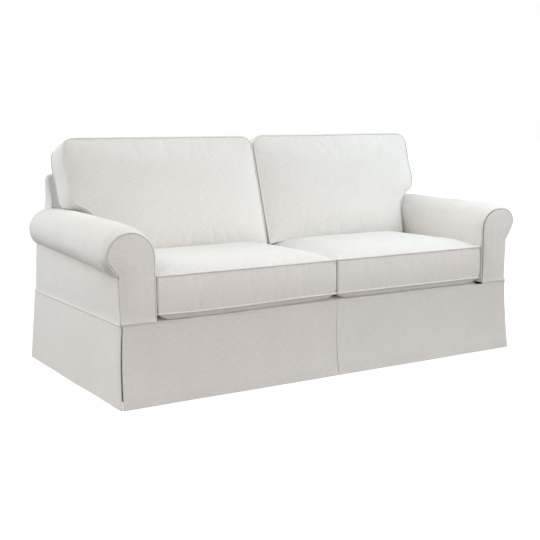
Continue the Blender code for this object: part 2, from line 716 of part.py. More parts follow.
def make_back_cushion(hand, side):
    slant = math.hypot(1, BACK_CUSHION_RAKE)
    thick_y = BACK_CUSHION_THICK / slant
    thick_z = BACK_CUSHION_THICK * BACK_CUSHION_RAKE / slant
    heights = [row.height + CUSHION_RISE[hand] * smooth_step((row.height - RISE_FROM) / RISE_OVER)
               for row in BACK_CUSHION_ROWS]
    inner_rows = [(side * row.inner, height) for row, height in zip(BACK_CUSHION_ROWS, heights)]
    outer_rows = [(side * row.outer, height) for row, height in zip(BACK_CUSHION_ROWS, heights)]

    def upper(flat):
        depth = BACK_CUSHION_DEPTH + BACK_CUSHION_RAKE * (flat[1] - BACK_CUSHION_Z)
        return np.array([flat[0], FRONT_Y + depth, flat[1]])

    def lower(flat):
        drop = thick_z * smooth_step((flat[1] - BACK_CUSHION_Z) / BACK_LEVEL_HEIGHT)
        return upper(flat) + np.array([0.0, thick_y, -drop])

    def upper_dome(a, b):
        uneven = 1 + 0.06 * math.sin(2.6 * a + 2 * side) * math.cos(2.2 * b + 1)
        return BACK_DOME * uneven * dome(a, b, 4, 4)

    def lower_dome(a, b):
        return BACK_REAR_DOME * dome(a, b, 4, 4)

    def press(point):
        depth = point[1] - FRONT_Y
        section = arm_section(min(depth, ARM_SECTIONS[-1].depth))
        away = np.array([side * point[0] - ROLL_X, point[2] - section.centre_z])
        reach = section.radius + ARM_CLEARANCE
        distance = np.linalg.norm(away)
        if away[1] > 0 and distance < reach:
            point[0] = side * (ROLL_X + away[0] * reach / distance)
            point[2] = section.centre_z + away[1] * reach / distance
        elif away[1] <= 0 and side * point[0] > ROLL_X - reach:
            point[0] = side * (ROLL_X - reach)
        point[2] = max(point[2], BACK_CUSHION_Z)
        limit = inside_back_depth(point[2]) - 2 * GAP
        point[1] = FRONT_Y + min(depth, limit)
        return point

    make_cushion("back_cushion_" + hand, ("back_welt_front_" + hand, "back_welt_rear_" + hand),
                 inner_rows, outer_rows, 11, upper, lower, upper_dome, lower_dome, press)


def build():
    clear_scene()
    make_deck()
    make_inside_back()
    make_outside_back()
    make_back_band()
    for hand, side in (("left", -1), ("right", 1)):
        make_roll_panel("arm_roll_panel_" + hand, side)
        make_outside_arm("outside_arm_panel_" + hand, side)
        make_facing("arm_facing_" + hand, side)
        make_arm_welt("arm_welt_" + hand, side)
        make_skirt_front("skirt_front_" + hand, side)
        make_skirt_side(hand, side)
        make_corner_pleat("pleat_front_" + hand, side, at_front=True)
        make_corner_pleat("pleat_rear_" + hand, side, at_front=False)
        make_seat_cushion(hand, side)
        make_back_cushion(hand, side)
    make_skirt_rear()
    make_middle_pleat()
    make_skirt_piping()


build()
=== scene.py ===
"""Looks of the fitted, skirted slipcover: its cloth, welts, piping, hems and filled cushions.

Metres, +Z up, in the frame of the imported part. The front faces -Y, left is -X.
"Depth" is measured from the flat front of the arms towards the rear.
"""

from collections import namedtuple
from math import cos, exp, hypot, pi, radians, sin, tau

import bpy
import numpy as np
from mathutils import Matrix, Vector


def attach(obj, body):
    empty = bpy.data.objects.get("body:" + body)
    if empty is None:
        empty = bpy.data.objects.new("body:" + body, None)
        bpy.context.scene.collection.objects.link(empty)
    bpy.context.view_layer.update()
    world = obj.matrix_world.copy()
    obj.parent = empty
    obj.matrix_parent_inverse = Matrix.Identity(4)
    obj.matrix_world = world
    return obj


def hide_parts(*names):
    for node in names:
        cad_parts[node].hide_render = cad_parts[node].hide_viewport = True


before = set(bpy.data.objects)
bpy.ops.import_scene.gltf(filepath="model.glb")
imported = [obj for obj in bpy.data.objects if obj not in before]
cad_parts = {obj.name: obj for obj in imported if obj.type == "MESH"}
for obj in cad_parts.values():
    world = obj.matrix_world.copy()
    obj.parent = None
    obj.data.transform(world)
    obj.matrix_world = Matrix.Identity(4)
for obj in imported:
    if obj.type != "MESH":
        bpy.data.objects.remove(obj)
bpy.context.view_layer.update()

# ---------------- sizes, as in the part
GAP = 0.0003
THICKNESS = 0.0018        # of the woven cloth
WELT_RADIUS = 0.003
CORD_RADIUS = 0.0036      # of a welt as it is covered and sewn
SETBACK = 0.0063
FACING_IN = 0.0058        # a facing's edge is sewn in under its welt
HALF_WIDTH = 0.930
SEAM_DEPTH = 0.954
SEAM_HEIGHT = 0.3066
FRONT_FLARE = 0.011
REAR_FLARE = 0.055
REAR_LEAN = 0.16
FRONT_Y = FRONT_FLARE - (FRONT_FLARE + SEAM_DEPTH + REAR_FLARE) / 2
ROLL_X = 0.884
DECK_TOP = 0.3143
BACK_FOOT_DEPTH = 0.684
BACK_RAKE = 0.30
BACK_TOP = 0.805
BACK_HALF_WIDTH = 0.890
BACK_CORNER = 0.020
BAND_FOOT = 0.6696        # the strip over the back starts here, before it is laid on the arm's roll
HEM = 0.0006
SKIRT_TOP = SEAM_HEIGHT - WELT_RADIUS - GAP
MIDDLE_X = 0.004

# inner and outer are the roll's half widths, outer_z the height of its outermost line,
# shoulder how full its outer quarter is (1 is round) and corner how far the front corner is worn in.
ArmShape = namedtuple("ArmShape", "depth centre_z radius crease_z belly_z belly_in lean "
                                  "inner outer outer_z shoulder corner", defaults=(1.0, 0.0))
ARM_SECTIONS = (          # from depth to lean
    (0.000, 0.5400, 0.0945, 0.4770, 0.5200, 0.012, 0.006),
    (0.037, 0.5490, 0.1010, 0.4750, 0.5040, 0.004, 0.006),
    (0.117, 0.5560, 0.1010, 0.4830, 0.5060, 0.000, 0.005),
    (0.287, 0.5660, 0.0980, 0.4940, 0.5180, 0.000, 0.003),
    (0.617, 0.5807, 0.0910, 0.5060, 0.5320, 0.000, 0.000),
    (0.777, 0.5850, 0.0850, 0.5120, 0.5380, 0.000, 0.000),
    (0.880, 0.5855, 0.0820, 0.5150, 0.5390, 0.000, 0.000),
    (0.930, 0.5835, 0.0755, 0.5160, 0.5400, 0.000, 0.000),
)
ARM_END = ARM_SECTIONS[-1][0]
REAR_SOFT = 0.009         # the body's rear edges are rounded by this much

SEAT_FRONT, SEAT_REAR = 0.006, 0.684
SEAT_SPANS = {"left": (-0.7780, 0.0025), "right": (0.0095, 0.7805)}
SEAT_TOP, SEAT_BASE = 0.4696, 0.3338
SEAT_PRESSED_DEPTH, SEAT_PRESSED_Z = 0.515, 0.4905
SEAT_SINK = ((-0.78, -0.60, -0.40, -0.15, 0.0, 0.78), (0.006, 0.010, 0.008, 0.0035, 0.003, 0.0045))
SEAT_EAR = {"left": 0.0038, "right": 0.0022}   # the outer front corners reach for the arms

CUSHION_FOOT = 0.4932
CUSHION_DEPTH = 0.5215
CUSHION_RAKE = 0.3065
CUSHION_THICK = 0.144
CUSHION_LEVEL = 0.150
CUSHION_RISE = {"left": -0.0035, "right": 0.0005}
CUSHION_TRIM = {"left": 0.001, "right": 0.009}
CUSHION_LIFT = {"left": 0.0, "right": 0.003}
BACK_CUSHION_ROWS = (     # height, inner edge, outer edge
    (0.4932, 0.0100, 0.7560), (0.5010, 0.0075, 0.7635), (0.5500, 0.0048, 0.7700), (0.6000, 0.0035, 0.7760),
    (0.6350, 0.0032, 0.7860), (0.6620, 0.0032, 0.8030), (0.6810, 0.0032, 0.8280), (0.6940, 0.0032, 0.8540),
    (0.7120, 0.0032, 0.8720), (0.7440, 0.0032, 0.8820), (0.8000, 0.0032, 0.8860), (0.8600, 0.0032, 0.8910),
    (0.9000, 0.0036, 0.8910), (0.9300, 0.0080, 0.8875), (0.9510, 0.0230, 0.8720), (0.9625, 0.0540, 0.8400),
)
SIDES = (("left", -1), ("right", 1))
QUARTER = pi / 2


# ---------------- curves
def smooth_step(value):
    value = np.clip(value, 0.0, 1.0)
    return value * value * (3 - 2 * value)


def unit(vectors):
    return vectors / np.maximum(np.linalg.norm(vectors, axis=-1, keepdims=True), 1e-12)


def arc(x, y, radius_x, radius_y, start, end, count):
    """Points round a centre, from one angle to another."""
    angles = np.linspace(start, end, count)
    return list(zip(x + radius_x * np.cos(angles), y + radius_y * np.sin(angles)))


def smooth_between(x, xs, ys):
    """A smooth curve through a table's points, read at x, without overshoot."""
    xs, ys = np.asarray(xs, float), np.asarray(ys, float)
    steps, rises = np.diff(xs), np.diff(ys) / np.diff(xs)
    slopes = np.zeros(len(xs))
    same_way = rises[:-1] * rises[1:] > 0
    mean = 2 * rises[:-1] * rises[1:] / np.where(same_way, rises[:-1] + rises[1:], 1)
    slopes[1:-1] = np.where(same_way, mean, 0)
    slopes[0], slopes[-1] = rises[0], rises[-1]
    x = np.clip(x, xs[0], xs[-1])
    at = np.clip(np.searchsorted(xs, x, side="right") - 1, 0, len(xs) - 2)
    t, step = (x - xs[at]) / steps[at], steps[at]
    return ((1 + 2 * t) * (1 - t) ** 2 * ys[at] + t * (1 - t) ** 2 * step * slopes[at]
            + t * t * (3 - 2 * t) * ys[at + 1] + t * t * (t - 1) * step * slopes[at + 1])


def spread(points, spacing=None, count=None):
    """Points set evenly along a line through the given ones."""
    points = np.asarray(points, float)
    along = np.concatenate([[0], np.cumsum(np.linalg.norm(np.diff(points, axis=0), axis=1))])
    count = count or max(2, round(along[-1] / spacing) + 1)
    wanted = np.linspace(0, along[-1], count)
    return np.column_stack([np.interp(wanted, along, points[:, i]) for i in range(points.shape[1])])


def rounded_line(points, spacing, closed=False):
    """A soft curve through points, with its own points evenly spaced."""
    points = np.asarray(points, float)
    if closed:
        ends = np.vstack([points[-1:], points, points[:2]])
    else:
        ends = np.vstack([2 * points[:1] - points[1:2], points, 2 * points[-1:] - points[-2:-1]])
    fine = []
    for a, b, c, d in zip(ends, ends[1:], ends[2:], ends[3:]):
        for t in np.linspace(0, 1, 12, endpoint=False):
            fine.append(0.5 * (2 * b + (c - a) * t + (2 * a - 5 * b + 4 * c - d) * t ** 2
                               + (3 * b - a - 3 * c + d) * t ** 3))
    fine.append(points[0] if closed else points[-1])
    line = spread(fine, spacing=spacing)
    return line[:-1] if closed else line


def stations(length, step, edge=0.004):
    """Shares of a cloth's length from 0 to 1, closer together along its two edges."""
    near = edge * np.array([0.0, 0.08, 0.3, 0.6, 1.0])
    count = max(2, round((length - 2 * edge) / step))
    middle = np.linspace(edge, length - edge, count + 1)[1:-1]
    return np.concatenate([near, middle, length - near[::-1]]) / length


# ---------------- cloth panels
def relief(across, along, creases):
    """Height of soft ridges and troughs on a panel, in metres.

    Each crease has its middle's place across and along, its length, angle, width and height.
    """
    rise = np.zeros_like(across)
    for middle_x, middle_y, length, angle, width, height in creases:
        turn = radians(angle)
        x, y = across - middle_x, along - middle_y
        run = (cos(turn) * x + sin(turn) * y) / (length / 2)
        off = -sin(turn) * x + cos(turn) * y + 0.05 * length * run ** 2
        rise += height * np.clip(1 - run ** 2, 0, 1) ** 1.5 * np.exp(-(off / width) ** 2)
    return rise


def swell(across, along, seed, height):
    """Broad, gentle unevenness of cloth stretched over a soft frame."""
    dice = np.random.default_rng(seed)
    rise = np.zeros_like(across)
    for length in (0.55, 0.38, 0.24, 0.15, 0.09):
        turn, shift = dice.uniform(0, tau, 2)
        wave = cos(turn) * across + sin(turn) * along
        rise += height * length / 0.55 * np.sin(tau * wave / length + shift)
    return rise


def puckers(along_edge, from_edge, seed, height, reach=0.014):
    """Small dents that stitches draw into the cloth beside a seam."""
    dice = np.random.default_rng(seed)
    rise = np.zeros_like(along_edge)
    for pitch in (0.019, 0.031, 0.047):
        rise += np.sin(tau * along_edge / pitch + dice.uniform(0, tau))
    return height / 3 * rise * np.exp(-(from_edge / reach) ** 2)


def tuck(from_edge, radius):
    """How far an edge turns in over its last few millimetres, or out on to a piping."""
    if radius < 0:
        return radius * np.clip(1 - from_edge / FLARE_REACH, 0, 1) ** 2
    near = np.clip(radius - from_edge, 0, radius)
    return radius - np.sqrt(np.maximum(radius ** 2 - near ** 2, 0))


# Each edge's radius: its columns' two ends, then its rows' two ends. Above 0 it turns in.
Edges = namedtuple("Edges", "start end first last")
SEWN = 0.0012
ON_PIPING = -0.0024
FLARE_REACH = 0.016
CORD_SIDES = 12
# Cloths whose nodes are called a panel.
PANELS = ("arm_roll", "outside_arm", "deck", "inside_back", "outside_back")


def grid_faces(rows, columns, start=0):
    corner = (start + np.arange(rows - 1)[:, None] * columns + np.arange(columns - 1)).ravel()
    return np.column_stack([corner, corner + 1, corner + columns + 1, corner + columns]).tolist()


def border(rows, columns):
    """The grid's border, once around."""
    index = np.arange(rows * columns).reshape(rows, columns)
    return np.concatenate([index[0], index[1:, -1], index[-1, -2::-1], index[-2:0:-1, 0]]).tolist()


def two_grids(rows, columns):
    """Faces of a grid of points and of another behind it, and the border of each."""
    count, rim = rows * columns, border(rows, columns)
    faces = grid_faces(rows, columns) + [quad[::-1] for quad in grid_faces(rows, columns, count)]
    return faces, rim, [count + index for index in rim]


def ring(first, second):
    count = len(first)
    return [(first[i], first[(i + 1) % count], second[(i + 1) % count], second[i])
            for i in range(count)]


def outward(grid, hidden_side):
    """Unit normals of a grid, pointing away from its hidden side."""
    normal = unit(np.cross(np.gradient(grid, axis=0), np.gradient(grid, axis=1)))
    towards = hidden_side(grid) if callable(hidden_side) else np.asarray(hidden_side, float)
    return normal if np.sum(normal * towards) < 0 else -normal


def named(*parts):
    return "_".join(part for part in parts if part)


def into_scene(name, data):
    thing = bpy.data.objects.new(name, data)
    bpy.context.scene.collection.objects.link(thing)
    return thing


def face_outwards(mesh):
    """Turns the whole closed shell inside out where it encloses a negative volume."""
    mesh.calc_loop_triangles()
    co = np.zeros(len(mesh.vertices) * 3)
    mesh.vertices.foreach_get("co", co)
    tri = np.zeros(len(mesh.loop_triangles) * 3, np.int32)
    mesh.loop_triangles.foreach_get("vertices", tri)
    a, b, c = co.reshape(-1, 3)[tri.reshape(-1, 3)].transpose(1, 0, 2)
    if np.sum(a * np.cross(b, c)) < 0:
        mesh.flip_normals()


def new_piece(name, node, points, faces, corner_uvs, material):
    """A closed mesh whose faces point outwards, in place of its CAD node."""
    mesh = bpy.data.meshes.new(name)
    mesh.from_pydata([tuple(p) for p in points], [], faces)
    mesh.uv_layers.new(name="cloth").data.foreach_set("uv", np.asarray(corner_uvs, np.float32).ravel())
    mesh.polygons.foreach_set("use_smooth", [True] * len(mesh.polygons))
    mesh.materials.append(material)
    face_outwards(mesh)
    piece = into_scene(name, mesh)
    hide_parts(node)
    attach(piece, "root")
    return piece


def at_corners(faces, uvs):
    """Each face corner's place on the cloth, from that of its point."""
    return np.asarray(uvs)[[index for face in faces for index in face]]


def cloth_panel(stem, hand, place, width, length, hidden_side, edges=Edges(0, 0, 0, 0), creases=(),
                seed=1, uneven=0.0008, grain="across", step=0.011, **lies):
    """A sheet of cloth on a surface: place(s, t) gives its face, s across and t along.

    Its edges turn in by the radii in edges, and its creases and seams show as relief.
    lies (how the sheet is held, what it rests on, its flat size and area) is not used. Returns the finished
    grid of its face.
    """
    s, t = stations(width, step), stations(length, step)
    grid = np.array([[place(a, b) for a in s] for b in t], float)
    across, along = np.meshgrid(s * width, t * length)
    rise = relief(across, along, creases) + swell(across, along, seed, uneven)
    calm, inwards = np.ones_like(rise), np.zeros_like(rise)
    distances = (across, width - across, along, length - along)
    for index, (distance, radius) in enumerate(zip(distances, edges)):
        if radius:
            rise += puckers(along if index < 2 else across, distance, seed + index, 0.0009)
            inwards += tuck(distance, radius)
            calm *= smooth_step(distance / 0.03)
    face = grid + outward(grid, hidden_side) * (rise * calm - inwards)[..., None]
    back = face - THICKNESS * outward(face, hidden_side)
    faces, rim, back_rim = two_grids(*face.shape[:2])
    faces += ring(back_rim, rim)
    uv = np.stack([across, along] if grain == "across" else [along, across], axis=2).reshape(-1, 2)
    points = np.concatenate([face.reshape(-1, 3), back.reshape(-1, 3)])
    node = named(stem, "panel" if stem in PANELS else "", hand)
    corner_uvs = at_corners(faces, np.concatenate([uv, uv]))
    piece = new_piece(named(stem, "cloth", hand), node, points, faces, corner_uvs, COVER)
    return face


def covered_cord(stem, hand, path, up, closed=False, seed=5):
    """A welt: cloth sewn round a cord, slightly uneven, along a path, in the welt cloth that is lightened as
    a painted highlight.
    """
    path = np.asarray(path, float)
    if closed:
        tangent = unit(np.roll(path, -1, axis=0) - np.roll(path, 1, axis=0))
    else:
        tangent = unit(np.gradient(path, axis=0))
    side = unit(np.cross(tangent, up))
    lift = np.cross(side, tangent)
    along = np.concatenate([[0], np.cumsum(np.linalg.norm(np.diff(path, axis=0), axis=1))])
    whole = along[-1] + (np.linalg.norm(path[0] - path[-1]) if closed else 0)
    dice = np.random.default_rng(seed)
    turns = [max(1, round(whole / pitch)) for pitch in (0.017, 0.029, 0.071)]
    girth = sum(np.sin(tau * n * along / whole + dice.uniform(0, tau)) for n in turns)
    size = CORD_RADIUS * (0.97 + 0.012 * girth)
    angles = tau * (np.arange(CORD_SIDES) + 0.5) / CORD_SIDES
    offsets = np.cos(angles)[:, None] * side[:, None] + np.sin(angles)[:, None] * lift[:, None]
    points = (path[:, None] + size[:, None, None] * offsets).reshape(-1, 3)
    rings = np.arange(len(points)).reshape(-1, CORD_SIDES).tolist()
    faces = [quad for a, b in zip(rings, rings[1:]) for quad in ring(a, b)]
    faces += ring(rings[-1], rings[0]) if closed else [rings[0][::-1], rings[-1]]
    uv = np.stack(np.broadcast_arrays(along[:, None], angles * CORD_RADIUS), axis=2).reshape(-1, 2)
    new_piece(named(stem, "cord", hand), named(stem, hand), points, faces, at_corners(faces, uv), PAINTED_BRIGHT_WELT)


# ---------------- materials
def shader(name):
    material = bpy.data.materials.new(name)
    material.use_nodes = True
    return material, material.node_tree, material.node_tree.nodes["Principled BSDF"]


def wire(tree, node, inputs):
    """Gives a node's inputs their values, or links them to other nodes' outputs."""
    for name, value in inputs.items():
        if isinstance(value, bpy.types.NodeSocket):
            tree.links.new(value, node.inputs[name])
        else:
            node.inputs[name].default_value = value
    return node


def add(tree, kind, inputs):
    return wire(tree, tree.nodes.new(kind), inputs)


def noise(tree, vector, scale, detail=2.0, stretch=(1, 1, 1)):
    mapped = add(tree, "ShaderNodeMapping", {"Vector": vector, "Scale": stretch}).outputs["Vector"]
    texture = add(tree, "ShaderNodeTexNoise", {"Vector": mapped, "Scale": scale, "Detail": detail})
    return texture.outputs["Fac"]


def threads(tree, vector, direction, pitch, wander):
    """Parallel threads of a weave: bands across one direction, a little uneven."""
    bands = add(tree, "ShaderNodeTexWave", {
        "Vector": vector, "Scale": pi / 10 / pitch, "Distortion": wander, "Detail": 1.0,
        "Detail Scale": 0.6})
    bands.wave_type, bands.bands_direction = "BANDS", direction
    return bands.outputs["Fac"]


def weighted(tree, *parts):
    """The sum of patterns, each times its weight."""
    total = 0.0
    for pattern, weight in parts:
        node = tree.nodes.new("ShaderNodeMath")
        node.operation = "MULTIPLY_ADD"
        total = wire(tree, node, {0: pattern, 1: weight, 2: total}).outputs[0]
    return total


def ramped(tree, value, stops):
    """A value turned to colour, by stops of (position, colour)."""
    ramp = add(tree, "ShaderNodeValToRGB", {"Fac": value})
    elements = ramp.color_ramp.elements
    for index, (position, colour) in enumerate(stops):
        stop = elements[index] if index < 2 else elements.new(position)
        stop.position, stop.color = position, (*colour, 1)
    return ramp.outputs["Color"]


def woven_cloth(name, dark, light, pitch=0.0011, slub=1.0):
    """Plain-woven cotton with a slub: its threads, thick places, nap and soft mottling."""
    material, tree, surface = shader(name)
    uv = tree.nodes.new("ShaderNodeUVMap")
    uv.uv_map = "cloth"
    vector = uv.outputs["UV"]
    weave = weighted(tree, (threads(tree, vector, "X", pitch, 0.6), threads(tree, vector, "Y", pitch, 0.9)))
    slubs = weighted(tree, (noise(tree, vector, 1.0, stretch=(45, 420, 1)), 1.0),
                     (noise(tree, vector, 1.0, stretch=(520, 80, 1)), 0.6))
    mottle = noise(tree, vector, 9.0, detail=3.0)
    tone = weighted(tree, (slubs, 0.5 * slub), (mottle, 0.12), (weave, 0.22))
    height = weighted(tree, (weave, 1.0), (slubs, 0.8))
    bump = add(tree, "ShaderNodeBump", {"Strength": 0.35, "Distance": 0.0004, "Height": height})
    wire(tree, surface, {
        "Base Color": ramped(tree, tone, ((0.215, dark), (0.735, light))), "Normal": bump.outputs["Normal"],
        "Roughness": 0.92, "Specular IOR Level": 0.18, "Sheen Weight": 0.12, "Sheen Roughness": 0.6})
    return material


def thread_finish(name, colour):
    """Spun sewing thread with its twist."""
    material, tree, surface = shader(name)
    place = tree.nodes.new("ShaderNodeTexCoord").outputs["Object"]
    twist = noise(tree, place, 900.0, detail=1.0)
    dark = [0.85 * part for part in colour]
    wire(tree, surface, {"Base Color": ramped(tree, twist, ((0, dark), (1, colour))), "Roughness": 0.7})
    return material


COVER = woven_cloth("cover_cloth", (0.685, 0.665, 0.630), (0.915, 0.905, 0.875))
CUSHION = woven_cloth("cushion_cloth", (0.705, 0.688, 0.655), (0.930, 0.922, 0.895))
# The welts' and the skirt piping's cloth is lighter than the cover's: a painted highlight for the bright
# line their tops catch from above.
PAINTED_BRIGHT_WELT = woven_cloth("welt_cloth", (0.770, 0.752, 0.720), (0.90, 0.885, 0.855), pitch=0.0009, slub=0.6)
THREAD = thread_finish("sewing_thread", (0.82, 0.80, 0.76))


# ---------------- shape of the body
def arm_at(depth, side=-1):
    """The arm's cross-section at a depth, read smoothly from its table.

    The right arm's roll is a little lower, tighter at its front and fuller inside.
    """
    depths, *columns = zip(*ARM_SECTIONS)
    values = [float(smooth_between(depth, depths, column)) for column in columns]
    shape = ArmShape(depth, *values, inner=values[1], outer=values[1], outer_z=values[0])
    if side < 0:
        return shape
    near, far = 1 - float(smooth_step(depth / 0.30)), float(smooth_step((depth - 0.05) / 0.50))
    return shape._replace(
        centre_z=shape.centre_z - 0.0005 + 0.0045 * near, radius=shape.radius - 0.0035,
        crease_z=shape.crease_z + 0.018 * near, belly_z=shape.belly_z + 0.016 * near,
        inner=shape.radius + (0.102 - shape.radius) * far + 0.005 * near,
        outer=shape.radius - 0.0065 * near, outer_z=shape.centre_z - 0.002 + 0.024 * near,
        shoulder=1 - 0.25 * near, corner=0.0065 * max(0.0, 1 - depth / 0.06) ** 2)


def arm_top(depth, side):
    section = arm_at(min(depth, ARM_END), side)
    return section.centre_z + section.radius


def rear_depth(height):
    return SEAM_DEPTH - REAR_LEAN * (height - SEAM_HEIGHT)


def inside_back_depth(height):
    return BACK_FOOT_DEPTH + BACK_RAKE * (height - DECK_TOP)


def panel_depth(share, height):
    rear = rear_depth(height) - 0.0036
    return SETBACK + share * (rear - SETBACK)


def roll_outline(section, count=160):
    """(x, z) from the inside arm's foot, over the roll, to the crease, evenly spaced."""
    inner, foot = ROLL_X - section.inner, DECK_TOP - 0.003
    points = [(inner, foot), (inner, 0.5 * (foot + section.centre_z))]
    points += arc(ROLL_X, section.centre_z, section.inner, section.radius, pi, QUARTER, 30)
    rise = section.centre_z + section.radius - section.outer_z
    for x, z in arc(0, 0, 1, 1, QUARTER, 0, 30)[1:]:
        points.append((ROLL_X + section.outer * x ** section.shoulder,
                       section.outer_z + rise * z ** section.shoulder))
    outermost = np.array([ROLL_X + section.outer, section.outer_z])
    belly = np.array([ROLL_X + section.outer - section.belly_in, section.belly_z])
    crease = np.array([HALF_WIDTH + section.lean - section.corner + GAP, section.crease_z])
    for share in np.linspace(0.06, 1, 16):
        points.append((1 - share) ** 2 * outermost + 2 * share * (1 - share) * belly + share ** 2 * crease)
    return spread(points, count=count)


def moved_in(path, distance):
    """A flat open path moved to its left by a distance."""
    tangent = unit(np.gradient(np.asarray(path, float), axis=0))
    return path + distance * np.column_stack([-tangent[:, 1], tangent[:, 0]])


def on_path(path, share):
    at = share * (len(path) - 1)
    low = min(int(at), len(path) - 2)
    return path[low] + (at - low) * (path[low + 1] - path[low])


# ---------------- arms
ON_DECK = {"held": "stretched", "rests_on": ["deck_cloth"]}
ON_SEAM = {"held": "stretched", "rests_on": ["skirt_piping_cord"]}
HUNG = {"held": "hung", "rests_on": ["skirt_piping_cord"]}
# Each crease: its middle across and along, then length, angle, width and height.
ROLL_CREASES = {
    "left": ((0.36, 0.05, 0.16, 62, 0.012, -0.0012), (0.42, 0.07, 0.14, 75, 0.010, 0.0009),
             (0.50, 0.10, 0.22, 80, 0.014, -0.0012), (0.56, 0.30, 0.40, 88, 0.016, 0.0012),
             (0.30, 0.60, 0.30, 70, 0.030, -0.0010), (0.47, 0.74, 0.26, 84, 0.018, -0.0011)),
    "right": ((0.12, 0.10, 0.20, 70, 0.020, -0.0014), (0.20, 0.14, 0.22, 62, 0.018, 0.0011),
              (0.30, 0.08, 0.16, 80, 0.014, -0.0010), (0.26, 0.42, 0.36, 86, 0.028, -0.0012),
              (0.40, 0.55, 0.30, 78, 0.022, 0.0009)),
}
OUTSIDE_CREASES = ((0.10, 0.10, 0.22, 28, 0.018, -0.0009), (0.45, 0.12, 0.40, 4, 0.024, 0.0010),
                   (0.80, 0.08, 0.24, -24, 0.020, -0.0009))
FACING_CREASES = {
    "left": ((0.045, 0.17, 0.24, 87, 0.010, -0.0008), (0.11, 0.14, 0.22, 94, 0.012, 0.0007)),
    "right": ((0.05, 0.20, 0.22, 92, 0.007, 0.0012), (0.075, 0.18, 0.24, 88, 0.006, -0.0012),
              (0.105, 0.16, 0.22, 95, 0.010, 0.0009)),
}


def across_at(outline, z):
    """How far across an outline of (x, z) lies at a height."""
    xs, zs = np.asarray(outline).T
    return float(np.interp(z, zs, xs))


ARM_FOOT = SEAM_HEIGHT + WELT_RADIUS + GAP      # the arm's cloth starts above the seam's piping


def dress_roll(hand, side):
    """The inside arm and its roll, one cloth from the deck to the crease outside."""
    sections = {}

    def place(s, t):
        if t not in sections:
            sections[t] = roll_outline(arm_at(t * ARM_END, side))
        x, z = on_path(sections[t], s)
        return side * x, FRONT_Y + panel_depth(t, z), z

    def into_roll(grid):
        return (np.array([side * ROLL_X, 0, 0.56]) - grid) * (1, 0, 1)

    cloth_panel("arm_roll", hand, place, 0.64, 0.93, into_roll, Edges(0.0, 0.002, SEWN, REAR_SOFT),
                ROLL_CREASES[hand], seed=11 + side, uneven=0.0006, grain="along", step=0.008,
                flat=(0.655, 0.945), area=0.583, **ON_DECK)


def dress_outside_arm(hand, side):
    def place(s, t):
        section = arm_at(s * ARM_END, side)
        z = ARM_FOOT + t * (section.crease_z + 0.0002 - ARM_FOOT)
        bow = 0.003 * sin(pi * t) * sin(pi * s)
        depth = 0.0006 + s * (rear_depth(z) - 0.0039)
        x = HALF_WIDTH + t * section.lean - min(1, t / 0.06) * section.corner + bow
        return side * x, FRONT_Y + depth, z

    cloth_panel("outside_arm", hand, place, 0.94, 0.19, (-side, 0, 0),
                Edges(0.0006, 0.014, ON_PIPING, 0.0), OUTSIDE_CREASES, seed=21 + side,
                flat=(0.948, 0.208), area=0.176, **ON_SEAM)


def dress_facing(hand, side):
    """The arm's front, sewn in under its welt above the neck."""
    front = arm_at(0.0, side)
    inset = moved_in(roll_outline(front, count=240), -FACING_IN)
    peak = int(np.argmax(inset[:, 1]))
    neck, crown = front.crease_z, inset[peak, 1]

    def place(s, t):
        z = ARM_FOOT + (crown - ARM_FOOT - 0.0006) * t
        left = across_at(inset[:peak + 1], z)
        level = min((z - ARM_FOOT) / (neck - ARM_FOOT), 1)
        corner = HALF_WIDTH - 0.0002 - min(1, level / 0.06) * front.corner + level * front.lean
        under_welt = across_at(inset[peak:][::-1], z)
        right = corner + smooth_step((z - neck + 0.012) / 0.012) * (under_welt - corner)
        puff = 0.004 * sin(pi * s) if side < 0 else 0.009 * sin(pi * s ** 0.6)
        puff *= sin(pi * t) ** 0.6
        return side * (left + s * (right - left)), FRONT_Y - 0.001 - puff, z

    cloth_panel("arm_facing", hand, place, 0.15, 0.32, (0, 1, 0),
                Edges(0.0024, 0.0024, ON_PIPING, 0.0020), FACING_CREASES[hand], seed=31 + side,
                uneven=0.0005, step=0.006, flat=(0.176, 0.323), area=0.044, **ON_SEAM)


def sew_arm_welt(hand, side):
    centre = moved_in(roll_outline(arm_at(0.0, side), count=150), -0.0024)
    path = [(side * x, FRONT_Y + 0.0026, z) for x, z in centre]
    covered_cord("arm_welt", hand, path, (0, 1, 0), seed=41 + side)


# ---------------- deck and back
DECK_FRONT = ((0.0, 0.3031), (0.004, 0.2998), (0.022, 0.2998), (0.032, 0.3050), (0.042, 0.3115),
              (0.056, DECK_TOP))


def deck_height(depth):
    """The deck is pressed down softly towards its front edge."""
    return float(smooth_between(depth, *zip(*DECK_FRONT)))


def dress_deck():
    path = [(0.0003, SKIRT_TOP - 0.0003), (0.0, SKIRT_TOP + 0.0004)]
    path += [(depth, deck_height(depth)) for depth in np.linspace(0, 0.056, 40)[1:]]
    path.append((inside_back_depth(DECK_TOP) - 0.0012, DECK_TOP))
    path = spread(path, count=900)

    def place(s, t):
        depth, z = on_path(path, t)
        left, right = [ROLL_X - arm_at(min(depth, ARM_END), side).inner - GAP for side in (-1, 1)]
        return s * (left + right) - left, FRONT_Y + depth, z

    cloth_panel("deck", "", place, 1.58, 0.69, (0, 0.1, -1), uneven=0.0, step=0.012,
                flat=(1.589, 0.69), held="stretched", rests_on=["skirt_front_cloth_left"], area=1.086)


def back_outline(half, top, radius, foot_z):
    """(x, z) up one end of the back and round its top corner."""
    ends = [(half, foot_z), (half, top - radius)]
    return ends + arc(half - radius, top - radius, radius, radius, 0, QUARTER, 14)


def soft_border(x, z):
    """How far the padded back's outer border rounds off to the rear."""
    beside = np.clip((abs(x) - BACK_HALF_WIDTH) / 0.065 + 1, 0, 1)
    above = np.clip((z - BACK_TOP) / 0.065 + 1, 0, 1)
    return max(0.012 * beside ** 2.2, 0.005 * above ** 2.2)


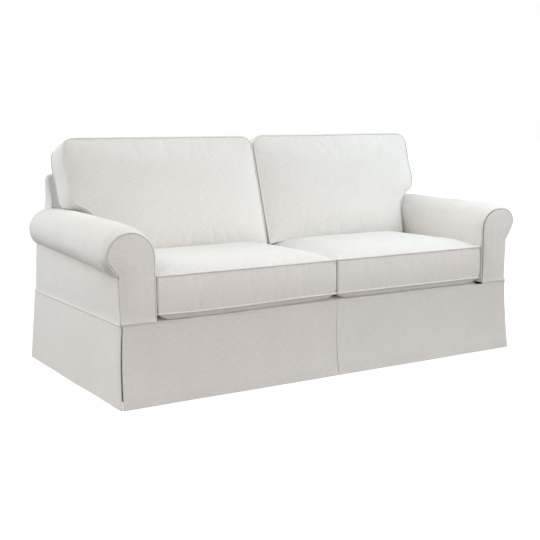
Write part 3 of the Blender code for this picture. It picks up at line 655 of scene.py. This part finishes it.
def dress_inside_back():
    section = arm_at(0.77)
    radius, inset = section.radius - 0.004, 0.0025
    foot, top = DECK_TOP - 0.003, BACK_TOP - inset
    outline = [(ROLL_X - radius, z) for z in (foot, 0.45)]
    outline += arc(ROLL_X, section.centre_z, -radius, radius, 0, QUARTER, 20)
    outline += back_outline(BACK_HALF_WIDTH - inset, top, BACK_CORNER - inset, outline[-1][1] + 0.004)

    def place(s, t):
        z = foot + t * (top - foot)
        x = (2 * s - 1) * across_at(outline, z)
        return x, FRONT_Y + inside_back_depth(z) + soft_border(x, z), z

    cloth_panel("inside_back", "", place, 1.70, 0.51, (0, 1, 0), Edges(SEWN, SEWN, 0.0, SEWN), BACK_CREASES,
                seed=51, step=0.012, flat=(1.772, 0.568), area=0.842, **ON_DECK)


def dress_outside_back():
    foot = SEAM_HEIGHT + WELT_RADIUS + 0.0009
    last = arm_at(ARM_END)
    roll = roll_outline(last, count=200)[::-1]
    side, top = BACK_HALF_WIDTH - REAR_SOFT, BACK_TOP - REAR_SOFT
    outline = [(HALF_WIDTH - 0.013, foot), (HALF_WIDTH - 0.013, last.crease_z - 0.004)]
    outline += [(max(x - REAR_SOFT, side), z) for x, z in roll if x > ROLL_X and x - REAR_SOFT > side - 0.01]
    outline += back_outline(side, top, BACK_CORNER, last.centre_z + last.radius + 0.004)

    def place(s, t):
        z = foot + t * (top - foot)
        return (2 * s - 1) * across_at(outline, z), FRONT_Y + rear_depth(z), z

    cloth_panel("outside_back", "", place, 1.86, 0.50, (0, -1, 0), Edges(SEWN, SEWN, 0.0015, SEWN),
                REAR_CREASES, seed=61, step=0.012, flat=(1.917, 0.553), area=0.924, **ON_SEAM)


def dress_band():
    """The strip over the back. Its front edge folds softly on to the inside back."""
    outline = back_outline(BACK_HALF_WIDTH, BACK_TOP, BACK_CORNER, BAND_FOOT) + [(0.0, BACK_TOP)]
    path = spread(outline + [(-x, z) for x, z in outline[-2::-1]], count=900)
    outwards = unit(np.gradient(path, axis=0)[:, ::-1] * (1, -1))

    def place(s, t):
        x, z = on_path(path, t)
        out_x, out_z = on_path(outwards, t)
        down = 1 - smooth_step((z - BAND_FOOT) / 0.055)
        low = z - down * (BAND_FOOT - arm_top(0.82 + 0.08 * s, 1 if x > 0 else -1) + 0.0022)
        fold = np.clip(1 - s / 0.30, 0, 1)
        out = 0.006 - 0.009 * (2 * s - 1) ** 2 - 0.004 * fold ** 2 + 0.006 * down ** 2
        front = inside_back_depth(low) + soft_border(x, z) - 0.0030
        depth = front + max(0.0, (s - 0.03) / 0.97) * (rear_depth(low) - 0.0010 - front)
        return x + out * out_x, FRONT_Y + depth, low + out * out_z

    cloth_panel("back_band", "", place, 0.05, 2.04, lambda grid: (np.array([0, 0, 0.6]) - grid) * (1, 0, 1),
                Edges(0.0, REAR_SOFT, 0.0, 0.0), seed=71, uneven=0.0003, grain="along", step=0.006,
                flat=(0.102, 2.045), held="stretched", rests_on=["inside_back_cloth"], area=0.090)


BACK_CREASES = ((0.40, 0.40, 0.30, 20, 0.030, -0.0010), (1.20, 0.42, 0.36, -15, 0.030, -0.0010))
REAR_CREASES = ((0.22, 0.40, 0.34, -38, 0.030, -0.0016), (0.60, 0.30, 0.50, 4, 0.045, 0.0014),
                (1.05, 0.36, 0.40, -6, 0.040, -0.0012), (1.45, 0.24, 0.46, 12, 0.045, 0.0013),
                (1.66, 0.40, 0.30, 40, 0.028, -0.0016))


# ---------------- skirt
WAVE = 0.0022
# How far the panels end from the front corners: at the top, and how much more at the hem.
SIDE_TRIM = {"left": (0.0010, 0.0020), "right": (0.0026, 0.0030)}
FRONT_TRIM = {"left": (0.0080, 0.0022), "right": (0.0, 0.001)}


# In the skirt, t runs down from its seam, 0, to its hem, 1.
def skirt_plane(t):
    """Half width, front and rear of the skirt: its front hangs straight, then swings out."""
    front_out = FRONT_FLARE * t * (3.8 * t - 2.8)
    return HALF_WIDTH + FRONT_FLARE * t, FRONT_Y - front_out, FRONT_Y + SEAM_DEPTH + REAR_FLARE * t


def swing(side, t):
    """The right side's skirt stands out a little between its top and its hem."""
    return 0.010 * sin(2.2 * t) if side > 0 else 0.0


def hem_wave(position, t, phase, share):
    """The hang's slow wave: none at the panel's top and at its two ends."""
    rise = sin(7.1 * position + phase) + 0.5 * sin(15.7 * position + 2 * phase)
    return WAVE * t * rise / 1.5 * sin(pi * share)


def skirt_z(t, foot=HEM):
    return SKIRT_TOP + (foot - SKIRT_TOP) * t


def dress_skirt():
    """All the skirt's panels. Returns the face of each, for the hem's stitches."""
    faces = []
    hems = Edges(0.0022, 0.0022, 0.0014, 0.0010)
    for hand, side in SIDES:
        def front_place(s, t, hand=hand, side=side):
            half, front, _ = skirt_plane(t)
            top_trim, more = FRONT_TRIM[hand]
            outer = side * (half + swing(side, t) - 0.0005 - top_trim - more * t)
            inner = MIDDLE_X + side * 0.0005 * (0.5 + t)
            x = inner + s * (outer - inner)
            return x, front + hem_wave(x, t, 0.8 + side, s), skirt_z(t)

        def side_place(s, t, hand=hand, side=side):
            half, front, rear = skirt_plane(t)
            top_trim, more = SIDE_TRIM[hand]
            first = front + top_trim + more * min(t / 0.25, 1) ** 0.7
            y = first + s * (rear - 0.0020 - 0.001 * t - first)
            curl = 0.0045 * max(0.0, 1 - s / 0.03) ** 2 if side < 0 else 0.0
            out = half + swing(side, t) + hem_wave(y, t, 2.1 + side, s) - curl
            return side * out, y, skirt_z(t)

        faces.append(cloth_panel("skirt_front", hand, front_place, 0.93, 0.303, (0, 1, 0),
                                 hems._replace(start=0.0012, first=0.0), FRONT_FLUTES[hand],
                                 seed=81 + side, uneven=0.0007, flat=(0.936, 0.303), **HUNG))
        faces.append(cloth_panel("skirt_side", hand, side_place, 0.97, 0.305, (-side, 0, 0),
                                 hems._replace(first=0.0034), SIDE_FLUTES, seed=91 + side, uneven=0.0007,
                                 flat=(1.008, 0.307), area=0.295, **HUNG))

    def rear_place(s, t):
        half, _, rear = skirt_plane(t)
        x = (2 * s - 1) * (half - 0.0005 - 0.003 * t)
        return x, rear + hem_wave(x, t, 4.0, s), skirt_z(t)

    faces.append(cloth_panel("skirt_rear", "", rear_place, 1.87, 0.308, (0, -1, 0), hems, REAR_FLUTES,
                             seed=101, uneven=0.0009, step=0.013, flat=(1.875, 0.308), **HUNG))
    return faces


FRONT_FLUTES = {
    "left": ((0.12, 0.20, 0.30, 90, 0.030, 0.0012), (0.34, 0.17, 0.34, 86, 0.045, -0.0012),
             (0.62, 0.20, 0.30, 92, 0.040, 0.0012), (0.83, 0.16, 0.32, 89, 0.022, -0.0010)),
    "right": ((0.10, 0.18, 0.30, 91, 0.030, -0.0012), (0.42, 0.20, 0.34, 88, 0.045, 0.0013),
              (0.70, 0.18, 0.30, 90, 0.035, -0.0012), (0.88, 0.14, 0.28, 93, 0.018, 0.0012)),
}
SIDE_FLUTES = ((0.15, 0.20, 0.30, 90, 0.030, 0.0010), (0.45, 0.17, 0.32, 87, 0.045, -0.0012),
               (0.75, 0.19, 0.30, 92, 0.040, 0.0011))
REAR_FLUTES = ((0.25, 0.20, 0.34, 89, 0.040, 0.0016), (0.62, 0.17, 0.34, 92, 0.050, -0.0016),
               (1.00, 0.20, 0.34, 90, 0.045, 0.0018), (1.35, 0.18, 0.34, 87, 0.050, -0.0016),
               (1.66, 0.20, 0.34, 91, 0.035, 0.0014))


PLEAT_HEM = 0.022         # the pleats' backings end above the hem


def backing_offset(t):
    return 0.0060 + 0.0080 * t


def dress_pleats():
    """Backings: one round each corner, and a flat one behind the middle pleat."""
    route = [(0.100, 0), (0.055, 0)]
    for share in np.linspace(0.08, 0.92, 12):
        pulled = 2 * share * (1 - share) * 0.012
        route.append((0.055 * (1 - share) ** 2 + pulled, 0.055 * share ** 2 + pulled))
    route = spread(route + [(0, 0.055), (0, 0.100)], count=80)
    for hand, side in SIDES:
        for end, inward in (("front", 1), ("rear", -1)):
            def place(s, t, side=side, end=end, inward=inward):
                half, front, rear = skirt_plane(t)
                off = backing_offset(t)
                corner_y = front + off if end == "front" else rear - off
                a, b = on_path(route, s)
                return side * (half - off - a), corner_y + inward * b, skirt_z(t, PLEAT_HEM)

            cloth_panel("pleat_" + end, hand, place, 0.17, 0.295, (-side, inward, 0), seed=111 + side,
                        uneven=0.0, flat=(0.172, 0.299), **HUNG)

    def middle_place(s, t):
        front = skirt_plane(t)[1]
        return MIDDLE_X + (2 * s - 1) * 0.100, front + backing_offset(t), skirt_z(t, 0.010)

    cloth_panel("pleat_middle", "", middle_place, 0.20, 0.295, (0, 1, 0), seed=121, uneven=0.0,
                flat=(0.20, 0.295), held="hung", rests_on=["skirt_front_cloth_left"])


def dress_piping():
    half, front = HALF_WIDTH + 0.0006, FRONT_Y + 0.0008
    rear = FRONT_Y + SEAM_DEPTH + 0.0006
    radius = 0.005
    right = [(ROLL_X - arm_at(0.0).radius + GAP, front)]
    right += arc(half - radius, front + radius, radius, radius, -QUARTER, 0, 6)
    right += arc(half - radius, rear - radius, radius, radius, 0, QUARTER, 6)
    plan = spread(right + [(-x, y) for x, y in reversed(right)], spacing=0.006)
    covered_cord("skirt_piping", "", [(x, y, SEAM_HEIGHT) for x, y in plan], (0, 0, 1))


# ---------------- stitches
STITCHES_UP = 0.026       # above the hem


def stitch_tree():
    """Stitches along a line: short lengths of thread, one after another, lying on the cloth."""
    tree = bpy.data.node_groups.new("stitch_row", "GeometryNodeTree")
    tree.interface.new_socket("Line", in_out="INPUT", socket_type="NodeSocketGeometry")
    for name, value in (("Pitch", 0.0042), ("Stitch", 0.0033), ("Thread", 0.00035)):
        tree.interface.new_socket(name, in_out="INPUT", socket_type="NodeSocketFloat").default_value = value
    tree.interface.new_socket("Stitches", in_out="OUTPUT", socket_type="NodeSocketGeometry")
    start = tree.nodes.new("NodeGroupInput")
    line = add(tree, "GeometryNodeMeshToCurve", {"Mesh": start.outputs["Line"]})
    even = tree.nodes.new("GeometryNodeResampleCurve")
    even.mode = "LENGTH"
    wire(tree, even, {"Curve": line.outputs["Curve"], "Length": start.outputs["Pitch"]})
    thread = add(tree, "GeometryNodeMeshCylinder", {
        "Vertices": 5, "Radius": start.outputs["Thread"], "Depth": start.outputs["Stitch"]})
    tangent = tree.nodes.new("GeometryNodeInputTangent")
    aim = add(tree, "FunctionNodeAlignRotationToVector", {"Vector": tangent.outputs["Tangent"]})
    aim.axis = "Z"
    sewn = add(tree, "GeometryNodeInstanceOnPoints", {
        "Points": even.outputs["Curve"], "Instance": thread.outputs["Mesh"],
        "Rotation": aim.outputs["Rotation"]})
    real = add(tree, "GeometryNodeRealizeInstances", {"Geometry": sewn.outputs["Instances"]})
    finish = add(tree, "GeometryNodeSetMaterial", {"Geometry": real.outputs["Geometry"], "Material": THREAD})
    add(tree, "NodeGroupOutput", {"Stitches": finish.outputs["Geometry"]})
    return tree


def line_on(face, height):
    """The line across a panel's face at one height above its hem."""
    columns = face[::-1].transpose(1, 0, 2)[4:-4]
    return np.array([[np.interp(height, column[:, 2], column[:, i]) for i in range(3)]
                     for column in columns])


def sew_hems(faces):
    """One row of stitches round each panel of the skirt, above its hem."""
    points, edges = [], []
    for face in faces:
        line = line_on(face, STITCHES_UP)
        flat = np.array([0, 1, 0] if np.ptp(line[:, 0]) > np.ptp(line[:, 1]) else [1, 0, 0])
        line = line + 0.0002 * flat * np.sign(line @ flat)[:, None]
        edges += [(len(points) + i, len(points) + i + 1) for i in range(len(line) - 1)]
        points += line.tolist()
    mesh = bpy.data.meshes.new("hem_line")
    mesh.from_pydata(points, edges, [])
    guide = into_scene("hem_line", mesh)
    guide.modifiers.new("stitches", "NODES").node_group = stitch_tree()
    graph = bpy.context.evaluated_depsgraph_get()
    sewn = bpy.data.meshes.new_from_object(guide.evaluated_get(graph))
    bpy.data.objects.remove(guide)
    sewn.name = "hem_stitches"
    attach(into_scene("hem_stitches", sewn), "root")


# ---------------- cushions
SEAM_IN = 0.0024          # the sewn edge lies this far inside the cushion's outline
WELT_OUT = 0.0006         # and its welt this far outside the sewn edge
NEAR_END = np.array([0, 1.2, 3, 5.5, 9, 14]) / 1000
BOXING = (0, 0.02, 0.05, 0.10, 0.18, 0.30, 0.44, 0.58, 0.70, 0.82, 0.90, 0.95, 0.98, 1)
BOXING_CLOTH = 0.14       # how much cloth the boxing takes from edge to edge
PUFF, PUFF_REACH = 0.0025, 0.0025   # how steeply the filling lifts the cloth beside a sewn edge
FILLED_AT = 20            # last frame of the filling
LOOSENESS = 0.003         # share by which the cushions' cloth is cut larger
# How far the filling may swell a cushion's faces, how far its boxing, and how full each is filled.
FACE_CAPS = {"seat": 0.004, "back": 0.006}
BOXING_CAP = 0.002
# A cushion's mesh, and what says where its welts may lie: places put a flat point on its
# upper and lower sewn edges, and press keeps a point off the neighbours.
Cushion = namedtuple("Cushion", "piece points pinned outline places press welts hand")


def away_from(outline):
    """Unit vectors pointing out of a closed flat outline."""
    along = np.roll(outline, -1, axis=0) - np.roll(outline, 1, axis=0)
    away = unit(np.column_stack([along[:, 1], -along[:, 0]]))
    return away if np.sum(away * (outline - outline.mean(axis=0))) > 0 else -away


def crowned_faces(flats, shares, width, places, domes):
    """The points of the upper and the lower face, a row of flat points at a time."""
    upper, lower = places
    low, high = flats[0, 0, 1], flats[-1, 0, 1]
    points = []
    for place, dome, sign in zip(places, domes, (-1, 1)):
        for row in flats:
            for share, flat in zip(shares, row):
                beside = min(share, 1 - share) * width
                near_edge = min(beside, abs(flat[1] - low), abs(high - flat[1]))
                puff = PUFF * (1 - exp(-near_edge / PUFF_REACH))
                rise = dome(2 * share - 1, 2 * (flat[1] - low) / (high - low) - 1) + puff
                points.append(place(flat) + sign * rise * unit(lower(flat) - upper(flat)))
    return points


def add_boxing(points, faces, corner_uvs, rims, outline, places, bulge):
    """Sews the boxing in between the borders of the two faces, swollen outwards."""
    upper, lower = places
    around = np.cumsum(np.linalg.norm(np.roll(outline, -1, axis=0) - outline, axis=1))
    around = np.concatenate([[0], around])
    away = away_from(outline)
    loops = [rims[0]]
    for share in BOXING[1:-1]:
        loops.append(list(range(len(points), len(points) + len(outline))))
        for flat, out in zip(outline, away):
            moved = flat + bulge(flat) * sin(pi * share) ** 0.85 * out
            points.append((1 - share) * upper(moved) + share * lower(moved))
    loops.append(rims[1])
    for level, (above, below) in enumerate(zip(loops, loops[1:])):
        faces += ring(below, above)
        top, foot = BOXING_CLOTH * BOXING[level], BOXING_CLOTH * BOXING[level + 1]
        for before, after in zip(around, around[1:]):
            corner_uvs += [(before, foot), (after, foot), (after, top), (before, top)]


def box_cushion(kind, hand, left, right, places, domes, bulge, press, welts):
    """A cushion as one closed shell: two faces and the boxing, sharing their sewn edges.

    left and right are the outline's two ends, a point for each row. The domes give each
    face's crown, and bulge how far the boxing swells out beside a flat point.
    """
    width = max(np.linalg.norm(right - left, axis=1))
    near = NEAR_END / width
    middle = np.linspace(near[-1], 1 - near[-1], round(width / 0.011))[1:-1]
    shares = np.concatenate([near, middle, 1 - near[::-1]])
    flats = left[:, None] + shares[None, :, None] * (right - left)[:, None]
    points = crowned_faces(flats, shares, width, places, domes)
    faces, *rims = two_grids(*flats.shape[:2])
    flats = flats.reshape(-1, 2)
    corner_uvs = at_corners(faces, np.concatenate([flats, flats])).tolist()
    outline = flats[rims[0]]
    add_boxing(points, faces, corner_uvs, rims, outline, places, bulge)
    piece = new_piece(named(kind, "filled", hand), named(kind, hand), points, faces, corner_uvs, CUSHION)
    welt_line = outline + WELT_OUT * away_from(outline)
    return Cushion(piece, np.array(points), rims[0] + rims[1], welt_line, places, press, welts, hand)


def add_filling(cushion):
    """Cloth held along its sewn edges and blown up by its filling."""
    group = cushion.piece.vertex_groups.new(name="sewn_edges")
    group.add(cushion.pinned, 1.0, "REPLACE")
    cloth = cushion.piece.modifiers.new("filling", "CLOTH")
    settings = cloth.settings
    settings.quality = 5
    settings.mass = 0.3
    settings.tension_stiffness = settings.compression_stiffness = 25
    settings.shear_stiffness = 8
    settings.bending_stiffness = 0.6
    settings.air_damping = 2
    settings.use_pressure = True
    settings.uniform_pressure_force = 4.0
    settings.vertex_group_mass = "sewn_edges"
    settings.shrink_min = -LOOSENESS
    settings.effector_weights.gravity = 0
    cloth.collision_settings.use_collision = False
    cloth.point_cache.frame_start, cloth.point_cache.frame_end = 1, FILLED_AT


def fill(cushions):
    """Runs the filling of all cushions together and returns their swollen points."""
    scene = bpy.context.scene
    for frame_number in range(1, FILLED_AT + 1):
        scene.frame_set(frame_number)
    graph = bpy.context.evaluated_depsgraph_get()
    swollen = []
    for cushion in cushions:
        mesh = cushion.piece.evaluated_get(graph).data
        points = np.zeros(len(mesh.vertices) * 3)
        mesh.vertices.foreach_get("co", points)
        swollen.append(points.reshape(-1, 3))
    for cushion in cushions:
        cushion.piece.modifiers.remove(cushion.piece.modifiers["filling"])
    scene.frame_set(1)
    return swollen


def finish_cushion(cushion, swollen, cap):
    """Keeps the swelling within its cap and off the neighbours, then softens the mesh."""
    moved = swollen - cushion.points
    size = np.linalg.norm(moved, axis=1, keepdims=True)
    moved *= cap * np.tanh(size / cap) / np.maximum(size, 1e-9)
    points = np.array([cushion.press(point) for point in cushion.points + moved])
    cushion.piece.data.vertices.foreach_set("co", points.ravel())
    cushion.piece.data.update()
    soften = cushion.piece.modifiers.new("softness", "SUBSURF")
    soften.levels = soften.render_levels = 1


def sew_welts(cushion):
    for stem, place, other in zip(cushion.welts, cushion.places, cushion.places[::-1]):
        across = unit(np.array([other(flat) - place(flat) for flat in cushion.outline]))
        line = [cushion.press(place(flat) - WELT_OUT * down) for flat, down in zip(cushion.outline, across)]
        both = rounded_line(np.hstack([line, across]), 0.006, closed=True)
        covered_cord(stem, cushion.hand, both[:, :3], both[:, 3:], closed=True,
                     seed=len(named(stem, cushion.hand)))


def plump(a, b, flat_a, flat_b):
    return (1 - abs(a) ** flat_a) * (1 - abs(b) ** flat_b)


def corner_sag(x):
    """How far the back cushions' inner lower corners sink between the seat cushions."""
    return (0.015 if x < 0.006 else 0.011) * np.clip(1 - abs(x - 0.004) / 0.075, 0, 1) ** 2


def seat_cushion(hand, side):
    low_x, high_x = SEAT_SPANS[hand]
    corner = 0.0020
    near = np.array([0, 0.3, 1.0, 2.2, 3.8, 6.0, 9.5, 14, 20, 28]) / 1000
    first, last = SEAT_FRONT + SEAM_IN, SEAT_REAR - SEAM_IN
    depths = np.concatenate([first + near, np.linspace(first, last, 62)[4:-2], last - near[5::-1]])
    near_corner = np.clip(corner - np.minimum(depths - first, last - depths), 0, corner)
    trims = corner - np.sqrt(corner ** 2 - near_corner ** 2)

    def ear(depth):
        return SEAT_EAR[hand] * np.clip(1 - (depth - first) / 0.035, 0, 1) ** 2

    left = np.column_stack([low_x + SEAM_IN + trims - (ear(depths) if side < 0 else 0), depths])
    right = np.column_stack([high_x - SEAM_IN - trims + (ear(depths) if side > 0 else 0), depths])

    def upper(flat):
        return np.array([flat[0], FRONT_Y + flat[1], SEAT_TOP - SEAM_IN])

    def lower(flat):
        """The lower edge hangs lower towards the front, most of all at its left."""
        sink = np.interp(flat[0], *SEAT_SINK) * float(np.exp(-(flat[1] / 0.12) ** 2))
        return np.array([flat[0], FRONT_Y + flat[1], SEAT_BASE + SEAM_IN - sink])

    def upper_dome(a, b):
        return 0.0345 * (1 + 0.05 * sin(3 * a + side) * cos(2.5 * b)) * plump(a, b, 8, 10)

    def lower_dome(a, b):
        from_front = (b + 1) / 2 * (SEAT_REAR - SEAT_FRONT)
        steep = 1 - exp(-from_front / 0.0110)
        rest = DECK_TOP - 0.0090 * exp(-(max(from_front - 0.014, 0) / 0.014) ** 2)
        return (SEAT_BASE + SEAM_IN - rest) * steep * (1 - abs(a) ** 24) * (1 - max(b, 0) ** 8)

    def bulge(flat):
        return 0.0040 + 0.002 * smooth_step((flat[1] - SEAT_FRONT - 0.02) / 0.05)

    low_limit = low_x - 0.004 if side < 0 else low_x - 0.0012
    high_limit = high_x + 0.0018

    def press(point):
        depth = point[1] - FRONT_Y
        ceiling = SEAT_PRESSED_Z + max(0.0, SEAT_PRESSED_DEPTH - depth) - corner_sag(point[0])
        point[2] = max(min(point[2], ceiling), deck_height(depth) + GAP)
        low, high = (ear(depth), 0) if side < 0 else (0, ear(depth))
        point[0] = min(max(point[0], low_limit - low), high_limit + high)
        point[1] = min(point[1], FRONT_Y + inside_back_depth(point[2]) - 0.001)
        return point

    return box_cushion("seat_cushion", hand, left, right, (upper, lower), (upper_dome, lower_dome), bulge,
                       press, ("seat_welt_upper", "seat_welt_lower"))


def back_cushion(hand, side):
    slant = hypot(1, CUSHION_RAKE)
    thick_y, thick_z = CUSHION_THICK / slant, CUSHION_THICK * CUSHION_RAKE / slant
    heights, *sides = np.array(BACK_CUSHION_ROWS).T
    heights = heights + CUSHION_RISE[hand] * smooth_step((heights - 0.80) / 0.15)
    low = CUSHION_FOOT + SEAM_IN + 0.010 * (1 - np.cos(np.linspace(0, QUARTER, 5)))
    high = heights[-1] - SEAM_IN - 0.045 * (1 - np.cos(np.linspace(QUARTER, 0, 12)))
    zs = np.concatenate([low, np.linspace(low[-1], high[0], 40)[1:-1], high])

    def edge(xs):
        line = rounded_line(np.column_stack([xs, heights]), 0.002)
        order = np.argsort(line[:, 1])
        return np.interp(zs, line[order, 1], line[order, 0])

    inner, outer = map(edge, sides)
    trim = CUSHION_TRIM[hand] * smooth_step((zs - 0.76) / 0.08)
    near = np.column_stack([side * (inner + SEAM_IN), zs])
    far = np.column_stack([side * (outer - trim - SEAM_IN), zs])
    left, right = (near, far) if side > 0 else (far, near)

    def upper(flat):
        depth = CUSHION_DEPTH + CUSHION_RAKE * (flat[1] - CUSHION_FOOT)
        sag = corner_sag(flat[0]) * np.clip(1 - (flat[1] - CUSHION_FOOT) / 0.12, 0, 1) ** 2
        lift = CUSHION_LIFT[hand] * smooth_step((side * flat[0] - 0.35) / 0.35)
        lift *= smooth_step((flat[1] - 0.80) / 0.15)
        return np.array([flat[0], FRONT_Y + depth, flat[1] - sag + lift])

    def lower(flat):
        drop = thick_z * smooth_step((flat[1] - CUSHION_FOOT) / CUSHION_LEVEL)
        return upper(flat) + np.array([0.0, thick_y, -drop])

    def upper_dome(a, b):
        return 0.041 * (1 + 0.04 * sin(2.6 * a + 2 * side) * cos(2.2 * b + 1)) * plump(a, b, 2.2, 4)

    def lower_dome(a, b):
        return 0.055 * plump(a, b, 4, 4)

    def press(point):
        depth = point[1] - FRONT_Y
        section = arm_at(min(depth, ARM_END), side)
        away = np.array([side * point[0] - ROLL_X, point[2] - section.centre_z])
        beside, above = section.inner + 0.0012, section.radius + 0.0012
        distance = hypot(away[0] / beside, away[1] / above)
        if away[1] > 0 and distance < 1:
            point[0] = side * (ROLL_X + away[0] / distance)
            point[2] = section.centre_z + away[1] / distance
        elif away[1] <= 0 and side * point[0] > ROLL_X - beside:
            point[0] = side * (ROLL_X - beside)
        point[0] = side * max(side * point[0], 0.0012)
        point[2] = max(point[2], CUSHION_FOOT - 0.0015 - corner_sag(point[0]))
        point[1] = FRONT_Y + min(depth, inside_back_depth(point[2]) - 0.0006)
        return point

    def bulge(flat):
        beside_arm = side * flat[0] > 0.6 and flat[1] < 0.67
        return 0.022 if beside_arm else 0.006

    return box_cushion("back_cushion", hand, left, right, (upper, lower), (upper_dome, lower_dome), bulge,
                       press, ("back_welt_front", "back_welt_rear"))


def dress_cushions():
    cushions = [maker(hand, side) for maker in (seat_cushion, back_cushion) for hand, side in SIDES]
    for cushion in cushions:
        add_filling(cushion)
    swollen = fill(cushions)
    for cushion, points in zip(cushions, swollen):
        kind = cushion.piece.name[:4]
        cap = np.full((len(points), 1), FACE_CAPS[kind])
        cap[cushion.pinned[-1] + 1:] = BOXING_CAP
        finish_cushion(cushion, points, cap)
        sew_welts(cushion)


# ---------------- room, light and camera
def ground(name, height, tone, glow):
    reach = 60.0
    mesh = bpy.data.meshes.new(name)
    corners = ((-1, -1), (1, -1), (1, 1), (-1, 1))
    mesh.from_pydata([(reach * x, reach * y, height) for x, y in corners], [], [(0, 1, 2, 3)])
    plane = into_scene(name, mesh)
    material, tree, surface = shader(name + "_finish")
    wire(tree, surface, {
        "Base Color": (tone, tone, tone, 1), "Roughness": 0.95, "Specular IOR Level": 0.1,
        "Emission Color": (1, 1, 1, 1), "Emission Strength": glow})
    mesh.materials.append(material)
    return plane


def pale_floor():
    """A white floor that shows, and a grey board under it that softens the light from below."""
    floor = ground("floor", 0.0, 0.5, 0.8)
    floor.visible_diffuse = floor.visible_glossy = False
    floor.visible_transmission = floor.visible_shadow = False
    ground("bounce_board", -0.0005, 0.35, 0.0).visible_camera = False


def aimed(name, kind, towards_light):
    data = bpy.data.lights.new(name, kind)
    lamp = into_scene(name, data)
    lamp.rotation_mode = "QUATERNION"
    lamp.rotation_quaternion = Vector(towards_light).to_track_quat("Z", "Y")
    return lamp, data


def broad_light(name, towards_light, strength, colour):
    """Very soft light from a large bright wall."""
    _, data = aimed(name, "SUN", towards_light)
    data.energy, data.angle, data.color = strength, radians(60), colour


def softbox(name, place, target, width, height, power, colour):
    lamp, data = aimed(name, "AREA", Vector(place) - Vector(target))
    lamp.location = place
    data.shape = "RECTANGLE"
    data.size, data.size_y = width, height
    data.energy, data.color = power, colour
    lamp.visible_camera = False


def studio_light():
    world = bpy.data.worlds.new("studio")
    bpy.context.scene.world = world
    world.use_nodes = True
    tree = world.node_tree
    place = tree.nodes.new("ShaderNodeTexCoord").outputs["Generated"]
    height = add(tree, "ShaderNodeSeparateXYZ", {"Vector": place}).outputs["Z"]
    walls = ramped(tree, height, ((0.139, (1, 1, 1)), (0.150, (0, 0, 0)), (0.49, (0, 0, 0)),
                                  (0.51, (0.169, 0.172, 0.173))))
    wire(tree, tree.nodes["Background"], {"Color": walls, "Strength": 1.0})
    broad_light("left_wall", (-1, 0, 0.6), 0.385, (1.000, 0.870, 0.820))
    broad_light("front_right_wall", (0.7, -0.7, 0.7), 1.03, (1.000, 0.909, 0.883))
    broad_light("right_wall", (1, 0, 0.6), 0.985, (0.850, 0.955, 1.000))
    broad_light("rear_left_wall", (-1, 1, 0.9), 1.88, (1.000, 0.940, 0.930))
    softbox("front_softbox", (0, -2.6, 2.2), (0, 0, 0.4), 2.5, 1.2, 21.4, (1.000, 0.909, 0.879))
    softbox("left_softbox", (-1.9, 0.5, 1.7), (-0.6, 0.2, 0.5), 1.2, 1.0, 4.9, (0.560, 0.950, 1.000))
    softbox("right_softbox", (1.6, -0.6, 2.0), (0.6, 0, 0.5), 1.5, 1.0, 10.6, (0.590, 0.910, 1.000))


def photo_camera():
    data = bpy.data.cameras.new("photo_camera")
    camera = into_scene("photo_camera", data)
    yaw, pitch, roll = 0.5496, 0.1424, -0.0083
    ahead = Vector((sin(yaw) * cos(pitch), cos(yaw) * cos(pitch), -sin(pitch)))
    level = Vector((cos(yaw), -sin(yaw), 0))
    above = level.cross(ahead)
    right = level * cos(roll) + above * sin(roll)
    up = -level * sin(roll) + above * cos(roll)
    turn = Matrix((right, up, -ahead)).transposed()
    camera.matrix_world = Matrix.Translation((-2.2041, -3.5871, 0.9729)) @ turn.to_4x4()
    data.sensor_width = 36.0
    data.lens, data.shift_y = 63.83, 0.0007
    data.clip_start, data.clip_end = 0.05, 300
    bpy.context.scene.camera = camera


photo_camera()
bpy.context.scene.view_settings.view_transform = "Standard"
pale_floor()
studio_light()
for hand, side in SIDES:
    dress_roll(hand, side)
    dress_outside_arm(hand, side)
    dress_facing(hand, side)
    sew_arm_welt(hand, side)
dress_deck()
dress_inside_back()
dress_outside_back()
dress_band()
sew_hems(dress_skirt())
dress_pleats()
dress_piping()
dress_cushions()
